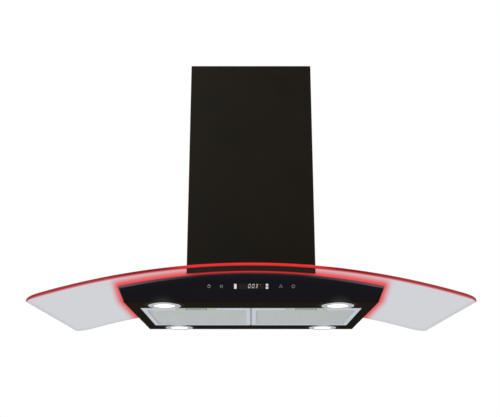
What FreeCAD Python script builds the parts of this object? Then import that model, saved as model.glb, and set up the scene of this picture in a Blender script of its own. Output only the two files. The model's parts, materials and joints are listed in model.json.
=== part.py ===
import FreeCAD, Part
import math
import os

# Wall-mounted extractor hood with an arched glass canopy, in millimetres.
# x runs across the hood, the wall is the plane y = 0 and the front faces -y, z points up.
# g is the distance forward of the wall, so y = -g. While the pieces are drawn, z = 0 is the
# canopy's underside; save() then moves each one so that the centre of the wall holes is the origin.

V = FreeCAD.Vector

# Clearances
SLIDE_GAP = 0.3           # between pieces that slide past or rest near each other
SHAFT_GAP = 0.06          # radial, round a turning shaft or pin
BEYOND = 5.0              # how far a cutting shape runs past the piece that it cuts

# Curved glass
GLASS_WIDTH = 900.0
GLASS_DEPTH = 500.0       # at the middle of the bowed front edge
GLASS_BOW = 12.0
GLASS_THICKNESS = 6.0
GLASS_FRONT_CORNER = 28.0
GLASS_BACK_CORNER = 40.0
ARCH_RADIUS = 1526.0      # of the glass's underside, about an axis along y
ARCH_CROWN = 58.0         # height of the glass's underside at its middle
NOTCH_HALF_WIDTH = 112.0  # of the notch in the back edge that the blower frame stands in
NOTCH_DEPTH = 219.0
NOTCH_CORNER = 8.0
GASKET_WIDTH = 32.0
GLASS_SCREW_INSET = 16.0  # from the notch's side to the glass screws
GLASS_SCREW_PLACES = (60.0, 190.0)
GLASS_SCREW_RADIUS = 2.5
GLASS_WASHER_RADIUS = 8.0
GLASS_WASHER_HEIGHT = 1.5
GLASS_SCREW_HEAD_RADIUS = 5.0
GLASS_SCREW_HEAD_HEIGHT = 2.5
GLASS_SCREW_TAIL = 6.0    # below the canopy's top plate

# Canopy body
BASE_WIDTH = 528.0
BASE_DEPTH = 412.0
FRONT_LEAN = 0.75         # forward per millimetre of height
SIDE_LEAN = 1.0 / 3.0     # outward per millimetre of height
SHEET = 1.2
FASCIA_THICKNESS = 4.0
GLOW_GAP = 5.3            # between the top plate and the glass
OPENING_HALF_WIDTH = 241.0
OPENING_BACK = 72.0
OPENING_FRONT = 336.0
RIM_HEIGHT = 12.0         # of the turned-up edge round the filter opening
AIR_HALF_WIDTH = 98.0     # of the air opening in the top plate
AIR_BACK = 12.0
AIR_FRONT = 203.0

# Glowing light guide round the canopy's top edge
GUIDE_INSET = 1.5
GUIDE_WIDTH = 7.0
LED_TAPE_THICKNESS = 1.0
LED_TAPE_HEIGHT = 4.0

# Touch control behind the fascia; up is measured along its sloping face
CONTROL_UP = 35.0
DISPLAY_HALF_WIDTH = 22.0
DISPLAY_HEIGHT = 16.0
DISPLAY_DEPTH = 4.2
BOARD_HALF_WIDTH = 105.0
BOARD_HEIGHT = 26.0
BOARD_THICKNESS = 1.6
BOARD_POST_RADIUS = 3.0
BOARD_POST_INSET = 6.0

# Grease filters
FILTER_HEIGHT = 9.0
FILTER_SIDE_GAP = 1.0     # between a filter and the rim round the opening
FILTER_MIDDLE_GAP = 3.0   # between the two filters
FILTER_SIDE_BORDER = 10.0
FILTER_BACK_BORDER = 18.0
FILTER_FRONT_BORDER = 28.0
MESH_RECESS = 1.5
MESH_THICKNESS = 6.0
TAB_LENGTH = 6.0          # of the tabs that hook over the back of the opening
TAB_THICKNESS = 1.5
TAB_WIDTH = 16.0
TAB_INSET = 5.0

# Filter latches, one in the middle of each filter's front border
RECESS_HALF_WIDTH = 45.0
RECESS_LENGTH = 21.0
RECESS_DEPTH = 5.5
LATCH_WALL = 4.0          # in front of the recess
LATCH_HALF_WIDTH = 21.5
LATCH_LENGTH = 13.0
LATCH_HEIGHT = 4.4
LATCH_GRIP_WIDTH = 30.0
LATCH_GRIP_LENGTH = 6.0
LATCH_GRIP_DEPTH = 1.6
TONGUE_HALF_WIDTH = 11.5
TONGUE_THICKNESS = 1.9
WING_WIDTH = 3.5
WING_THICKNESS = 1.9
RAIL_THICKNESS = 1.9
RAIL_WEB = 1.2
SPRING_HALF_WIDTH = 16.0
SPRING_THICKNESS = 0.5
SPRING_HEIGHT = 3.0

# Lamps
LAMP_X = 183.5
LAMP_FRONT = 374.0
LAMP_BACK = 36.5
BEZEL_RADIUS = 34.5
BEZEL_HEIGHT = 2.5
BEZEL_CHAMFER = 1.5
LENS_RADIUS = 22.0
LENS_THICKNESS = 1.8
LAMP_BODY_RADIUS = 28.0
LAMP_BODY_HEIGHT = 16.0
LAMP_HOLE_GAP = 2.0
LAMP_CLIP_WIDTH = 8.0
LAMP_CLIP_REACH = 5.0
LAMP_CLIP_HEIGHT = 3.0
LAMP_FIN_COUNT = 5
LAMP_FIN_THICKNESS = 1.5
LAMP_FIN_HEIGHT = 5.0

# Blower frame
FRAME_HALF_WIDTH = 108.0
FRAME_DEPTH = 215.0
FRAME_TOP = 301.5
FRAME_SHEET = 1.5
HANG_HEIGHT = 190.0       # of the wall holes' centre above the canopy's underside
HANG_SPACING_X = 184.0
HANG_SPACING_Z = 120.0
HANG_HOLE_RADIUS = 4.0
FRAME_SCREW_INSET = 5.0

# Blower
FAN_AXIS_G = 108.0
FAN_AXIS_Z = 187.0
FAN_RADIUS = 72.0
FAN_INNER_RADIUS = 60.0
FAN_HALF_WIDTH = 60.0
FAN_BLADES = 32
BLADE_THICKNESS = 1.2
BLADE_TURN = 30.0
FAN_RIM_WIDTH = 2.5
FAN_DISC_THICKNESS = 2.0
FAN_DISC_X = -3.0
HUB_RADIUS = 12.0
HUB_LENGTH = 16.0
SHAFT_RADIUS = 4.0
SHAFT_IN_MOTOR = 35.0
SHAFT_STUB = 3.0          # past the hub
MOTOR_RADIUS = 45.0
MOTOR_END_RADIUS = 30.0
MOTOR_END_LENGTH = 6.0
MOTOR_FACE_X = 6.0
MOTOR_BACK_X = 70.0
HOUSING_HALF_WIDTH = 75.0
HOUSING_WALL = 2.5
HOUSING_BACK_G = 10.0
HOUSING_BACK_RADIUS = 98.0
HOUSING_UNDER_RADIUS = 91.0
HOUSING_FRONT_RADIUS = 84.0
HOUSING_TONGUE_ANGLE = 60.0
OUTLET_FRONT_G = 172.0
HOUSING_FLANGE = 10.0
HOUSING_FLANGE_THICKNESS = 3.0
HOUSING_BOSS_RADIUS = 7.5
HOUSING_BOSS_LENGTH = 12.0
INLET_RADIUS = 60.0
SPIDER_RADIUS = 70.0
SPIDER_INNER_RADIUS = 57.0
SPIDER_THICKNESS = 2.0
SPIDER_ARM_WIDTH = 12.0
SPIDER_DISC_RADIUS = 26.0
SPIDER_SCREW_RADIUS = 65.0
SPIDER_BOSS_RADIUS = 18.0
SCREW_RADIUS = 1.8
SCREW_HEAD_RADIUS = 3.5
SCREW_HEAD_HEIGHT = 2.0
SCREW_LENGTH = 8.0
CAPACITOR_RADIUS = 13.0
CAPACITOR_LENGTH = 70.0
CAPACITOR_G = 190.0
CAPACITOR_Z = 100.0
CAPACITOR_CLIP_WALL = 1.5
CAPACITOR_CLIP_HEIGHT = 14.0
CAPACITOR_CLIP_TAB = 8.0

# Outlet spigot and non-return flaps
SPIGOT_G = 91.0
SPIGOT_RADIUS = 74.5      # outside, for a 150 mm duct
SPIGOT_WALL = 2.5
SPIGOT_HEIGHT = 60.0
SPIGOT_FLANGE_RADIUS = 88.0
SPIGOT_FLANGE_THICKNESS = 3.0
SPIGOT_SCREW_RADIUS = 82.0
FLAP_HEIGHT = 12.0        # of the flap pin above the flange
FLAP_THICKNESS = 1.5
FLAP_EDGE_GAP = 1.0
FLAP_LEDGE_WIDTH = 4.0
FLAP_LEDGE_HEIGHT = 2.0
FLAP_PIN_RADIUS = 2.0
KNUCKLE_RADIUS = 3.6
KNUCKLE_COUNT = 4
KNUCKLE_SPAN = 120.0

# Electrical boxes on the frame's sides
BOX_HEIGHT_Z = 205.0
TERMINAL_REACH = 32.0
TERMINAL_LENGTH = 110.0
TERMINAL_HEIGHT = 80.0
TERMINAL_WALL = 2.0
TERMINAL_G = 60.0
POWER_BOARD_THICKNESS = 1.6
POWER_BOARD_STANDOFF = 5.0
POWER_BOARD_EDGE = 6.0
RELAY_LENGTH = 26.0
RELAY_HEIGHT = 20.0
RELAY_DEPTH = 14.0
POST_RADIUS = 3.0
GLAND_RADIUS = 9.0
GLAND_BORE_RADIUS = 4.0   # for an 8 mm mains cable
GLAND_HEIGHT = 16.0
GLAND_NUT_RADIUS = 11.0
GLAND_NUT_HEIGHT = 6.0
DRIVER_REACH = 28.0
DRIVER_LENGTH = 110.0
DRIVER_HEIGHT = 42.0
DRIVER_EAR = 8.0
DRIVER_EAR_THICKNESS = 2.0
DRIVER_CORNER = 3.0

# Chimney
CHIMNEY_WIDTH = 300.0
CHIMNEY_DEPTH = 250.0
CHIMNEY_TOP = 629.0
CHIMNEY_SHEET = 1.0
CHIMNEY_CORNER = 2.0
CHIMNEY_FLANGE = 15.0
CHIMNEY_SLIP = 0.5        # between the two chimney sections
INNER_LENGTH = 420.0
INNER_TOP_GAP = 3.0       # below the outer section's top edge
INNER_BRACKET_HEIGHT = 22.0
INNER_BRACKET_SHEET = 1.5
INNER_BRACKET_EAR = 26.0
INNER_BRACKET_DROP = 5.0
BRACKET_HOLE_SPACING = 200.0
BRACKET_HOLE_RADIUS = 3.0
CLIP_HEIGHT_Z = 100.0
CLIP_LENGTH = 40.0
CLIP_EAR = 18.0
CLIP_G = 120.0

# Worked-out sizes
FRONT_SLOPE = math.hypot(1.0, FRONT_LEAN)
SIDE_SLOPE = math.hypot(1.0, SIDE_LEAN)
LEAN_ANGLE = math.degrees(math.atan(FRONT_LEAN))
BASE_HALF_WIDTH = BASE_WIDTH / 2
FASCIA_SETBACK = FASCIA_THICKNESS * FRONT_SLOPE
FORM_TOP = ARCH_CROWN + BEYOND
FILTER_BACK = OPENING_BACK + FILTER_SIDE_GAP
FILTER_FRONT = OPENING_FRONT - FILTER_SIDE_GAP
FILTER_OUTSIDE = OPENING_HALF_WIDTH - FILTER_SIDE_GAP
FILTER_INSIDE = FILTER_MIDDLE_GAP / 2
FILTER_MIDDLE = (FILTER_INSIDE + FILTER_OUTSIDE) / 2
RECESS_FRONT = FILTER_FRONT - LATCH_WALL
RECESS_BACK = RECESS_FRONT - RECESS_LENGTH
LATCH_TOP = RECESS_DEPTH - SLIDE_GAP
LATCH_FRONT = RECESS_FRONT - SLIDE_GAP
LATCH_BACK = LATCH_FRONT - LATCH_LENGTH
WING_LOW = LATCH_TOP - WING_THICKNESS
RAIL_TOP = WING_LOW - SLIDE_GAP
RAIL_OUTSIDE = LATCH_HALF_WIDTH + WING_WIDTH + SLIDE_GAP + RAIL_WEB
FRAME_PLATE = FRAME_TOP - FRAME_SHEET
SPIGOT_BASE = FRAME_TOP
FLAP_Z = SPIGOT_BASE + SPIGOT_FLANGE_THICKNESS + FLAP_HEIGHT
SPIGOT_INSIDE = SPIGOT_RADIUS - SPIGOT_WALL
HOUSING_ARC_Z = HOUSING_BACK_RADIUS - HOUSING_UNDER_RADIUS
CHIMNEY_HALF_WIDTH = CHIMNEY_WIDTH / 2
INNER_TOP = CHIMNEY_TOP - INNER_TOP_GAP
INNER_HALF_WIDTH = CHIMNEY_HALF_WIDTH - CHIMNEY_SHEET - CHIMNEY_SLIP
INNER_FRONT = CHIMNEY_DEPTH - CHIMNEY_SHEET - CHIMNEY_SLIP
INNER_BACK = CHIMNEY_SHEET + CHIMNEY_SLIP
GLASS_SCREW_X = NOTCH_HALF_WIDTH + GLASS_SCREW_INSET
SIDES = (-1, 1)


# Drawing helpers

def block(x_low, x_high, g_low, g_high, z_low, z_high):
    """Box between two places across, forward of the wall and up."""
    return Part.makeBox(x_high - x_low, g_high - g_low, z_high - z_low, V(x_low, -g_high, z_low))


def upright(x, g, radius, z_low, z_high):
    """Cylinder with a vertical axis."""
    return Part.makeCylinder(radius, z_high - z_low, V(x, -g, z_low))


def crosswise(g, z, radius, x_low, x_high):
    """Cylinder with its axis along x."""
    return Part.makeCylinder(radius, x_high - x_low, V(x_low, -g, z), V(1, 0, 0))


def lengthwise(x, z, radius, g_low, g_high):
    """Cylinder with its axis along y."""
    return Part.makeCylinder(radius, g_high - g_low, V(x, -g_high, z), V(0, 1, 0))


def arch(rise):
    """All that lies under a surface that curves with the glass, rise above the glass's underside."""
    crown = V(0, BEYOND, ARCH_CROWN - ARCH_RADIUS)
    return Part.makeCylinder(ARCH_RADIUS + rise, GLASS_DEPTH + 2 * BEYOND, crown, V(0, -1, 0))


def layer(shape, low, high):
    """The part of a shape between two surfaces that curve with the glass."""
    return shape.common(arch(high)).cut(arch(low))


def joined(shapes):
    """One solid from shapes that touch or overlap."""
    first, *others = shapes
    return first.multiFuse(others).removeSplitter()


def group(shapes):
    """Separate solids that share one name."""
    return Part.makeCompound(shapes)


def other_side(shape):
    """The same shape on the other side of the hood's middle plane."""
    return shape.mirror(V(0, 0, 0), V(1, 0, 0))


def save(name, shape):
    """Put the wall holes' centre at the origin and write the piece."""
    moved = shape.copy()
    moved.translate(V(0, 0, -HANG_HEIGHT))
    moved.exportStep("parts/" + name + ".step")


# Canopy body

def canopy_form(side_inset, front_inset, back_inset, z_low, z_high):
    """The canopy's flared form: a rectangle that grows wider and deeper as it rises."""
    rings = []
    for z in (z_low, z_high):
        half = BASE_HALF_WIDTH + SIDE_LEAN * z - side_inset
        front = -(BASE_DEPTH + FRONT_LEAN * z - front_inset)
        back = -back_inset
        corners = [V(-half, back, z), V(half, back, z), V(half, front, z), V(-half, front, z)]
        rings.append(Part.makePolygon(corners + corners[:1]))
    return Part.makeLoft(rings, True, True)


def in_fascia_plane(x_low, x_high, up_low, up_high, in_low, in_high):
    """Box square to the fascia: up runs up its face from the bottom edge, in runs into the hood."""
    size = (x_high - x_low, in_high - in_low, up_high - up_low)
    shape = Part.makeBox(*size, V(x_low, in_low - BASE_DEPTH, up_low))
    shape.rotate(V(0, -BASE_DEPTH, 0), V(1, 0, 0), LEAN_ANGLE)
    return shape


def fascia_post(x, up, radius, in_low, in_high):
    """Cylinder square to the fascia."""
    shape = Part.makeCylinder(radius, in_high - in_low, V(x, in_low - BASE_DEPTH, up), V(0, 1, 0))
    shape.rotate(V(0, -BASE_DEPTH, 0), V(1, 0, 0), LEAN_ANGLE)
    return shape


def lamp_places():
    """Name, x and g of each lamp."""
    for row, g in (("front", LAMP_FRONT), ("back", LAMP_BACK)):
        for side, x in (("left", -LAMP_X), ("right", LAMP_X)):
            yield row + "_" + side, x, g


def glass_screw_places():
    for side in SIDES:
        for g in GLASS_SCREW_PLACES:
            yield side * GLASS_SCREW_X, g


def frame_screw_places():
    """Screws that hold the blower frame's foot to the top plate."""
    x = (AIR_HALF_WIDTH + FRAME_HALF_WIDTH - FRAME_SHEET) / 2
    for side in SIDES:
        for g in GLASS_SCREW_PLACES:
            yield side * x, g


def canopy_base():
    """Tray of folded sheet: floor, three outer walls and the wall behind the fascia."""
    floor = canopy_form(0, 0, 0, 0, SHEET)
    outside = canopy_form(0, FASCIA_SETBACK, 0, 0, FORM_TOP)
    side = SHEET * SIDE_SLOPE
    front = FASCIA_SETBACK + SHEET * FRONT_SLOPE
    inside = canopy_form(side, front, SHEET, SHEET, FORM_TOP)
    walls = outside.cut(inside).common(arch(-GLOW_GAP - SHEET))
    half = OPENING_HALF_WIDTH
    rim = block(-half - SHEET, half + SHEET, OPENING_BACK, OPENING_FRONT + SHEET, 0, RIM_HEIGHT)
    tray = joined([floor, walls, rim])
    tray = tray.cut(block(-half, half, OPENING_BACK, OPENING_FRONT, -BEYOND, RIM_HEIGHT + BEYOND))
    for name, x, g in lamp_places():
        tray = tray.cut(upright(x, g, LAMP_BODY_RADIUS + LAMP_HOLE_GAP, -BEYOND, SHEET + BEYOND))
    window = in_fascia_plane(
        -DISPLAY_HALF_WIDTH - SLIDE_GAP, DISPLAY_HALF_WIDTH + SLIDE_GAP,
        CONTROL_UP - DISPLAY_HEIGHT / 2 - SLIDE_GAP, CONTROL_UP + DISPLAY_HEIGHT / 2 + SLIDE_GAP,
        FASCIA_THICKNESS - SLIDE_GAP, FASCIA_THICKNESS + SHEET + BEYOND)
    tray = tray.cut(window)
    posts = []
    for x in (-BOARD_HALF_WIDTH + BOARD_POST_INSET, BOARD_HALF_WIDTH - BOARD_POST_INSET):
        start = FASCIA_THICKNESS + SHEET / 2
        posts.append(fascia_post(x, CONTROL_UP, BOARD_POST_RADIUS, start, FASCIA_THICKNESS + DISPLAY_DEPTH))
    return joined([tray] + posts)


def canopy_top():
    """Arched plate that closes the tray, with the air opening to the blower."""
    plate = layer(canopy_form(0, FASCIA_SETBACK, 0, 0, FORM_TOP), -GLOW_GAP - SHEET, -GLOW_GAP)
    top = ARCH_CROWN + BEYOND
    plate = plate.cut(block(-AIR_HALF_WIDTH, AIR_HALF_WIDTH, AIR_BACK, AIR_FRONT, 0, top))
    for x, g in glass_screw_places():
        plate = plate.cut(upright(x, g, GLASS_SCREW_RADIUS, 0, top))
    for x, g in frame_screw_places():
        plate = plate.cut(upright(x, g, SCREW_RADIUS, 0, top))
    return plate


def fascia_glass():
    """Flat sheet of black glass on the sloping front; its top edge follows the arch."""
    wide = BASE_HALF_WIDTH + SIDE_LEAN * FORM_TOP
    sheet = in_fascia_plane(-wide, wide, -BEYOND, FORM_TOP * FRONT_SLOPE, 0, FASCIA_THICKNESS)
    return sheet.common(canopy_form(0, 0, 0, SHEET, FORM_TOP)).common(arch(-GLOW_GAP))


def display_module():
    return in_fascia_plane(
        -DISPLAY_HALF_WIDTH, DISPLAY_HALF_WIDTH,
        CONTROL_UP - DISPLAY_HEIGHT / 2, CONTROL_UP + DISPLAY_HEIGHT / 2,
        FASCIA_THICKNESS, FASCIA_THICKNESS + DISPLAY_DEPTH)


def touch_board():
    """Circuit board behind the front wall; the display stands on it."""
    start = FASCIA_THICKNESS + DISPLAY_DEPTH
    return in_fascia_plane(
        -BOARD_HALF_WIDTH, BOARD_HALF_WIDTH,
        CONTROL_UP - BOARD_HEIGHT / 2, CONTROL_UP + BOARD_HEIGHT / 2,
        start, start + BOARD_THICKNESS)


def edge_band(inset, width, low, high):
    """U-shaped band inside the canopy's top edge, along both sides and the front."""
    outside = canopy_form(inset, inset, 0, 0, FORM_TOP)
    inside = canopy_form(inset + width, inset + width, -BEYOND, -BEYOND, FORM_TOP + BEYOND)
    return layer(outside.cut(inside), low, high)


def glow_guide():
    return edge_band(GUIDE_INSET, GUIDE_WIDTH, -GLOW_GAP, -SLIDE_GAP)


def glow_led_tape():
    inset = GUIDE_INSET + GUIDE_WIDTH
    return edge_band(inset, LED_TAPE_THICKNESS, -GLOW_GAP, -GLOW_GAP + LED_TAPE_HEIGHT)


# Curved glass and its fixings

def notch(grow):
    """The notch in the glass's back edge, made wider and deeper by grow."""
    half = NOTCH_HALF_WIDTH + grow
    shape = block(-half, half, -BEYOND, NOTCH_DEPTH + grow, 0, ARCH_CROWN + GLASS_THICKNESS + BEYOND)
    corners = [edge for edge in shape.Edges
               if abs(edge.CenterOfMass.y + NOTCH_DEPTH + grow) < SLIDE_GAP
               and edge.BoundBox.ZLength > ARCH_CROWN]
    return shape.makeFillet(NOTCH_CORNER + grow, corners)


def curved_glass():
    """Arched sheet of clear glass with a bowed front edge and rounded corners."""
    half = GLASS_WIDTH / 2
    side = GLASS_DEPTH - GLASS_BOW
    bow = Part.Arc(V(half, -side, 0), V(0, -GLASS_DEPTH, 0), V(-half, -side, 0)).toShape()
    straight = Part.makePolygon([V(-half, -side, 0), V(-half, 0, 0), V(half, 0, 0), V(half, -side, 0)])
    outline = Part.Wire(Part.__sortEdges__([bow] + straight.Edges))
    height = ARCH_CROWN + GLASS_THICKNESS + BEYOND
    sag = ARCH_RADIUS - math.sqrt(ARCH_RADIUS ** 2 - half ** 2)
    plan = Part.Face(outline).extrude(V(0, 0, height + sag))
    plan.translate(V(0, 0, -sag))
    uprights = [edge for edge in plan.Edges if edge.BoundBox.ZLength > height]
    back = [edge for edge in uprights if edge.CenterOfMass.y > -side / 2]
    plan = plan.makeFillet(GLASS_BACK_CORNER, back)
    uprights = [edge for edge in plan.Edges if edge.BoundBox.ZLength > height]
    front = [edge for edge in uprights if edge.CenterOfMass.y < -side + SLIDE_GAP]
    plan = plan.makeFillet(GLASS_FRONT_CORNER, front)
    glass = layer(plan, 0, GLASS_THICKNESS).cut(notch(0))
    for x, g in glass_screw_places():
        glass = glass.cut(upright(x, g, GLASS_SCREW_RADIUS, 0, height))
    return glass


def glass_gasket():
    """Rubber U round the notch, between the top plate and the glass."""
    back_limit = block(-GLASS_WIDTH, GLASS_WIDTH, 0, GLASS_DEPTH, 0, FORM_TOP)
    band = layer(notch(GASKET_WIDTH).cut(notch(0)).common(back_limit), -GLOW_GAP, 0)
    for x, g in glass_screw_places():
        band = band.cut(upright(x, g, GLASS_SCREW_RADIUS, 0, FORM_TOP))
    return band


def glass_screws():
    """Screws down through the washers, the glass, the gasket and the top plate."""
    screws = []
    head_low = GLASS_THICKNESS + GLASS_WASHER_HEIGHT
    head_high = head_low + GLASS_SCREW_HEAD_HEIGHT
    top = ARCH_CROWN + head_high + BEYOND
    for x, g in glass_screw_places():
        head = layer(upright(x, g, GLASS_SCREW_HEAD_RADIUS, 0, top), head_low, head_high)
        shank = upright(x, g, GLASS_SCREW_RADIUS, 0, top)
        shank = layer(shank, -GLOW_GAP - SHEET - GLASS_SCREW_TAIL, head_low)
        screws.append(joined([head, shank]))
    return group(screws)


def glass_washers():
    washers = []
    for x, g in glass_screw_places():
        top = ARCH_CROWN + GLASS_THICKNESS + GLASS_WASHER_HEIGHT + BEYOND
        disc = upright(x, g, GLASS_WASHER_RADIUS, 0, top).cut(upright(x, g, GLASS_SCREW_RADIUS, 0, top))
        washers.append(layer(disc, GLASS_THICKNESS, GLASS_THICKNESS + GLASS_WASHER_HEIGHT))
    return group(washers)


# Screws

def screw(start, direction, length):
    """Pan-head screw; start is the middle of the face that its head sits on."""
    shank = Part.makeCylinder(SCREW_RADIUS, length, start, direction)
    head = Part.makeCylinder(SCREW_HEAD_RADIUS, SCREW_HEAD_HEIGHT, start, direction * -1)
    return joined([shank, head])


def hole(start, direction, length):
    """What a screw's shank takes out of the sheets that it passes through."""
    return Part.makeCylinder(SCREW_RADIUS, length, start, direction)


# Blower frame

def hang_places():
    for x in (-HANG_SPACING_X / 2, HANG_SPACING_X / 2):
        for z in (HANG_HEIGHT - HANG_SPACING_Z / 2, HANG_HEIGHT + HANG_SPACING_Z / 2):
            yield x, z


def housing_screw_places():
    """Screws from the frame's top plate into the blower housing's flange."""
    x = HOUSING_HALF_WIDTH + HOUSING_FLANGE / 2
    for side in SIDES:
        for g in (HOUSING_BACK_G, OUTLET_FRONT_G):
            yield side * x, g


def spigot_screw_places():
    step = math.radians(45)
    for quarter in range(4):
        angle = step * (2 * quarter + 1)
        yield SPIGOT_SCREW_RADIUS * math.cos(angle), SPIGOT_G + SPIGOT_SCREW_RADIUS * math.sin(angle)


def capacitor_place():
    """x of the capacitor's axis, held off the frame's left side by its clip."""
    return -(FRAME_HALF_WIDTH - FRAME_SHEET - CAPACITOR_CLIP_WALL - CAPACITOR_RADIUS)


def side_screw_places():
    """Side, g and z of the screws that hold the two electrical boxes."""
    for g in (TERMINAL_G + TERMINAL_WALL + POST_RADIUS, TERMINAL_G + TERMINAL_LENGTH / 2):
        yield 1, g, BOX_HEIGHT_Z + TERMINAL_WALL + POST_RADIUS
    for g in (TERMINAL_G - DRIVER_EAR / 2, TERMINAL_G + DRIVER_LENGTH + DRIVER_EAR / 2):
        yield -1, g, BOX_HEIGHT_Z + DRIVER_HEIGHT / 2


def clip_screw_places():
    for side in SIDES:
        yield side, CLIP_G, CLIP_HEIGHT_Z + CLIP_EAR / 2


def blower_frame():
    """Folded sheet tower: back with wall holes, two sides, top and a foot that follows the arch."""
    half = FRAME_HALF_WIDTH
    tower = block(-half, half, 0, FRAME_DEPTH, 0, FRAME_TOP)
    hollow = block(-half + FRAME_SHEET, half - FRAME_SHEET, FRAME_SHEET, FRAME_DEPTH + BEYOND,
                   -BEYOND, FRAME_PLATE)
    tower = tower.cut(hollow).cut(arch(-GLOW_GAP))
    foot = layer(block(-half, half, 0, FRAME_DEPTH, 0, FORM_TOP), -GLOW_GAP, -GLOW_GAP + FRAME_SHEET)
    foot = foot.cut(block(-AIR_HALF_WIDTH, AIR_HALF_WIDTH, AIR_BACK, AIR_FRONT, 0, FORM_TOP))
    clip_x = capacitor_place()
    middle = CAPACITOR_Z + CAPACITOR_LENGTH / 2
    clip_low = middle - CAPACITOR_CLIP_HEIGHT / 2
    clip_high = middle + CAPACITOR_CLIP_HEIGHT / 2
    clip = upright(clip_x, CAPACITOR_G, CAPACITOR_RADIUS + CAPACITOR_CLIP_WALL, clip_low, clip_high)
    clip_tab = block(-half, clip_x, CAPACITOR_G - CAPACITOR_CLIP_TAB / 2, CAPACITOR_G + CAPACITOR_CLIP_TAB / 2,
                     clip_low, clip_high)
    clip = joined([clip, clip_tab]).cut(upright(clip_x, CAPACITOR_G, CAPACITOR_RADIUS, clip_low, clip_high))
    frame = joined([tower, foot, clip])
    frame = frame.cut(upright(0, SPIGOT_G, SPIGOT_INSIDE - FLAP_LEDGE_WIDTH, FRAME_PLATE - BEYOND,
                              FRAME_TOP + BEYOND))
    for x, z in hang_places():
        frame = frame.cut(lengthwise(x, z, HANG_HOLE_RADIUS, -BEYOND, FRAME_SHEET + BEYOND))
    for x, g in list(housing_screw_places()) + list(spigot_screw_places()):
        frame = frame.cut(hole(V(x, -g, FRAME_TOP), V(0, 0, -1), SCREW_LENGTH))
    for x, g in frame_screw_places():
        frame = frame.cut(upright(x, g, SCREW_RADIUS, 0, ARCH_CROWN))
    for side, g, z in list(side_screw_places()) + list(clip_screw_places()):
        start = V(side * (half - FRAME_SHEET - BEYOND), -g, z)
        frame = frame.cut(hole(start, V(side, 0, 0), SCREW_LENGTH + BEYOND))
    return frame


def frame_screws():
    """Screws through the frame's foot into the top plate."""
    screws = []
    for x, g in frame_screw_places():
        low = -GLOW_GAP - SHEET - SCREW_LENGTH / 2
        high = -GLOW_GAP + FRAME_SHEET
        shank = layer(upright(x, g, SCREW_RADIUS, 0, FORM_TOP), low, high)
        head = layer(upright(x, g, SCREW_HEAD_RADIUS, 0, FORM_TOP), high, high + SCREW_HEAD_HEIGHT)
        screws.append(joined([shank, head]))
    return group(screws)


def top_screws():
    """Screws down into the housing's flange, and through the spigot's flange into the frame."""
    screws = []
    for x, g in housing_screw_places():
        screws.append(screw(V(x, -g, FRAME_TOP), V(0, 0, -1), FRAME_SHEET + HOUSING_FLANGE_THICKNESS))
    for x, g in spigot_screw_places():
        start = V(x, -g, FRAME_TOP + SPIGOT_FLANGE_THICKNESS)
        screws.append(screw(start, V(0, 0, -1), SPIGOT_FLANGE_THICKNESS + FRAME_SHEET))
    return group(screws)


def side_screws():
    """Screws from inside the frame into the two electrical boxes and the chimney clips."""
    screws = []
    for side, g, z in list(side_screw_places()) + list(clip_screw_places()):
        start = V(side * (FRAME_HALF_WIDTH - FRAME_SHEET), -g, z)
        screws.append(screw(start, V(side, 0, 0), FRAME_SHEET + INNER_BRACKET_SHEET))
    return group(screws)


# Blower

def scroll_outline(inset):
    """Spiral of three arcs round the fan, with a straight outlet up to the frame's top plate."""
    centre_g = HOUSING_BACK_G + HOUSING_BACK_RADIUS
    under = V(0, -centre_g, FAN_AXIS_Z - HOUSING_UNDER_RADIUS + inset)
    under_z = FAN_AXIS_Z - HOUSING_UNDER_RADIUS + HOUSING_BACK_RADIUS
    back_radius = HOUSING_BACK_RADIUS - inset
    under_radius = HOUSING_UNDER_RADIUS - inset
    front_radius = HOUSING_FRONT_RADIUS - inset
    front_g = centre_g + HOUSING_UNDER_RADIUS - HOUSING_FRONT_RADIUS
    diagonal = math.sqrt(0.5)
    tongue = math.radians(HOUSING_TONGUE_ANGLE)

    def on_arc(g, z, radius, cosine, sine):
        return V(0, -(g + radius * cosine), z + radius * sine)

    back = on_arc(centre_g, under_z, back_radius, -1, 0)
    front = on_arc(centre_g, FAN_AXIS_Z, under_radius, 1, 0)
    lip = on_arc(front_g, FAN_AXIS_Z, front_radius, math.cos(tongue), math.sin(tongue))
    lip_middle = on_arc(front_g, FAN_AXIS_Z, front_radius, math.cos(tongue / 2), math.sin(tongue / 2))
    top_front = V(0, -(OUTLET_FRONT_G - inset), FRAME_PLATE)
    top_back = V(0, -(HOUSING_BACK_G + inset), FRAME_PLATE)
    back_middle = on_arc(centre_g, under_z, back_radius, -diagonal, -diagonal)
    under_middle = on_arc(centre_g, FAN_AXIS_Z, under_radius, diagonal, -diagonal)
    edges = [
        Part.makeLine(top_back, back),
        Part.Arc(back, back_middle, under).toShape(),
        Part.Arc(under, under_middle, front).toShape(),
        Part.Arc(front, lip_middle, lip).toShape(),
        Part.makeLine(lip, top_front),
        Part.makeLine(top_front, top_back),
    ]
    return Part.Face(Part.Wire(edges))


def seam_places(outward):
    """g and z on the spiral's underside and front, outward of its surface by a distance."""
    centre_g = HOUSING_BACK_G + HOUSING_BACK_RADIUS
    reach = HOUSING_UNDER_RADIUS + outward
    yield centre_g, FAN_AXIS_Z - reach
    yield centre_g + reach, FAN_AXIS_Z


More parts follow.
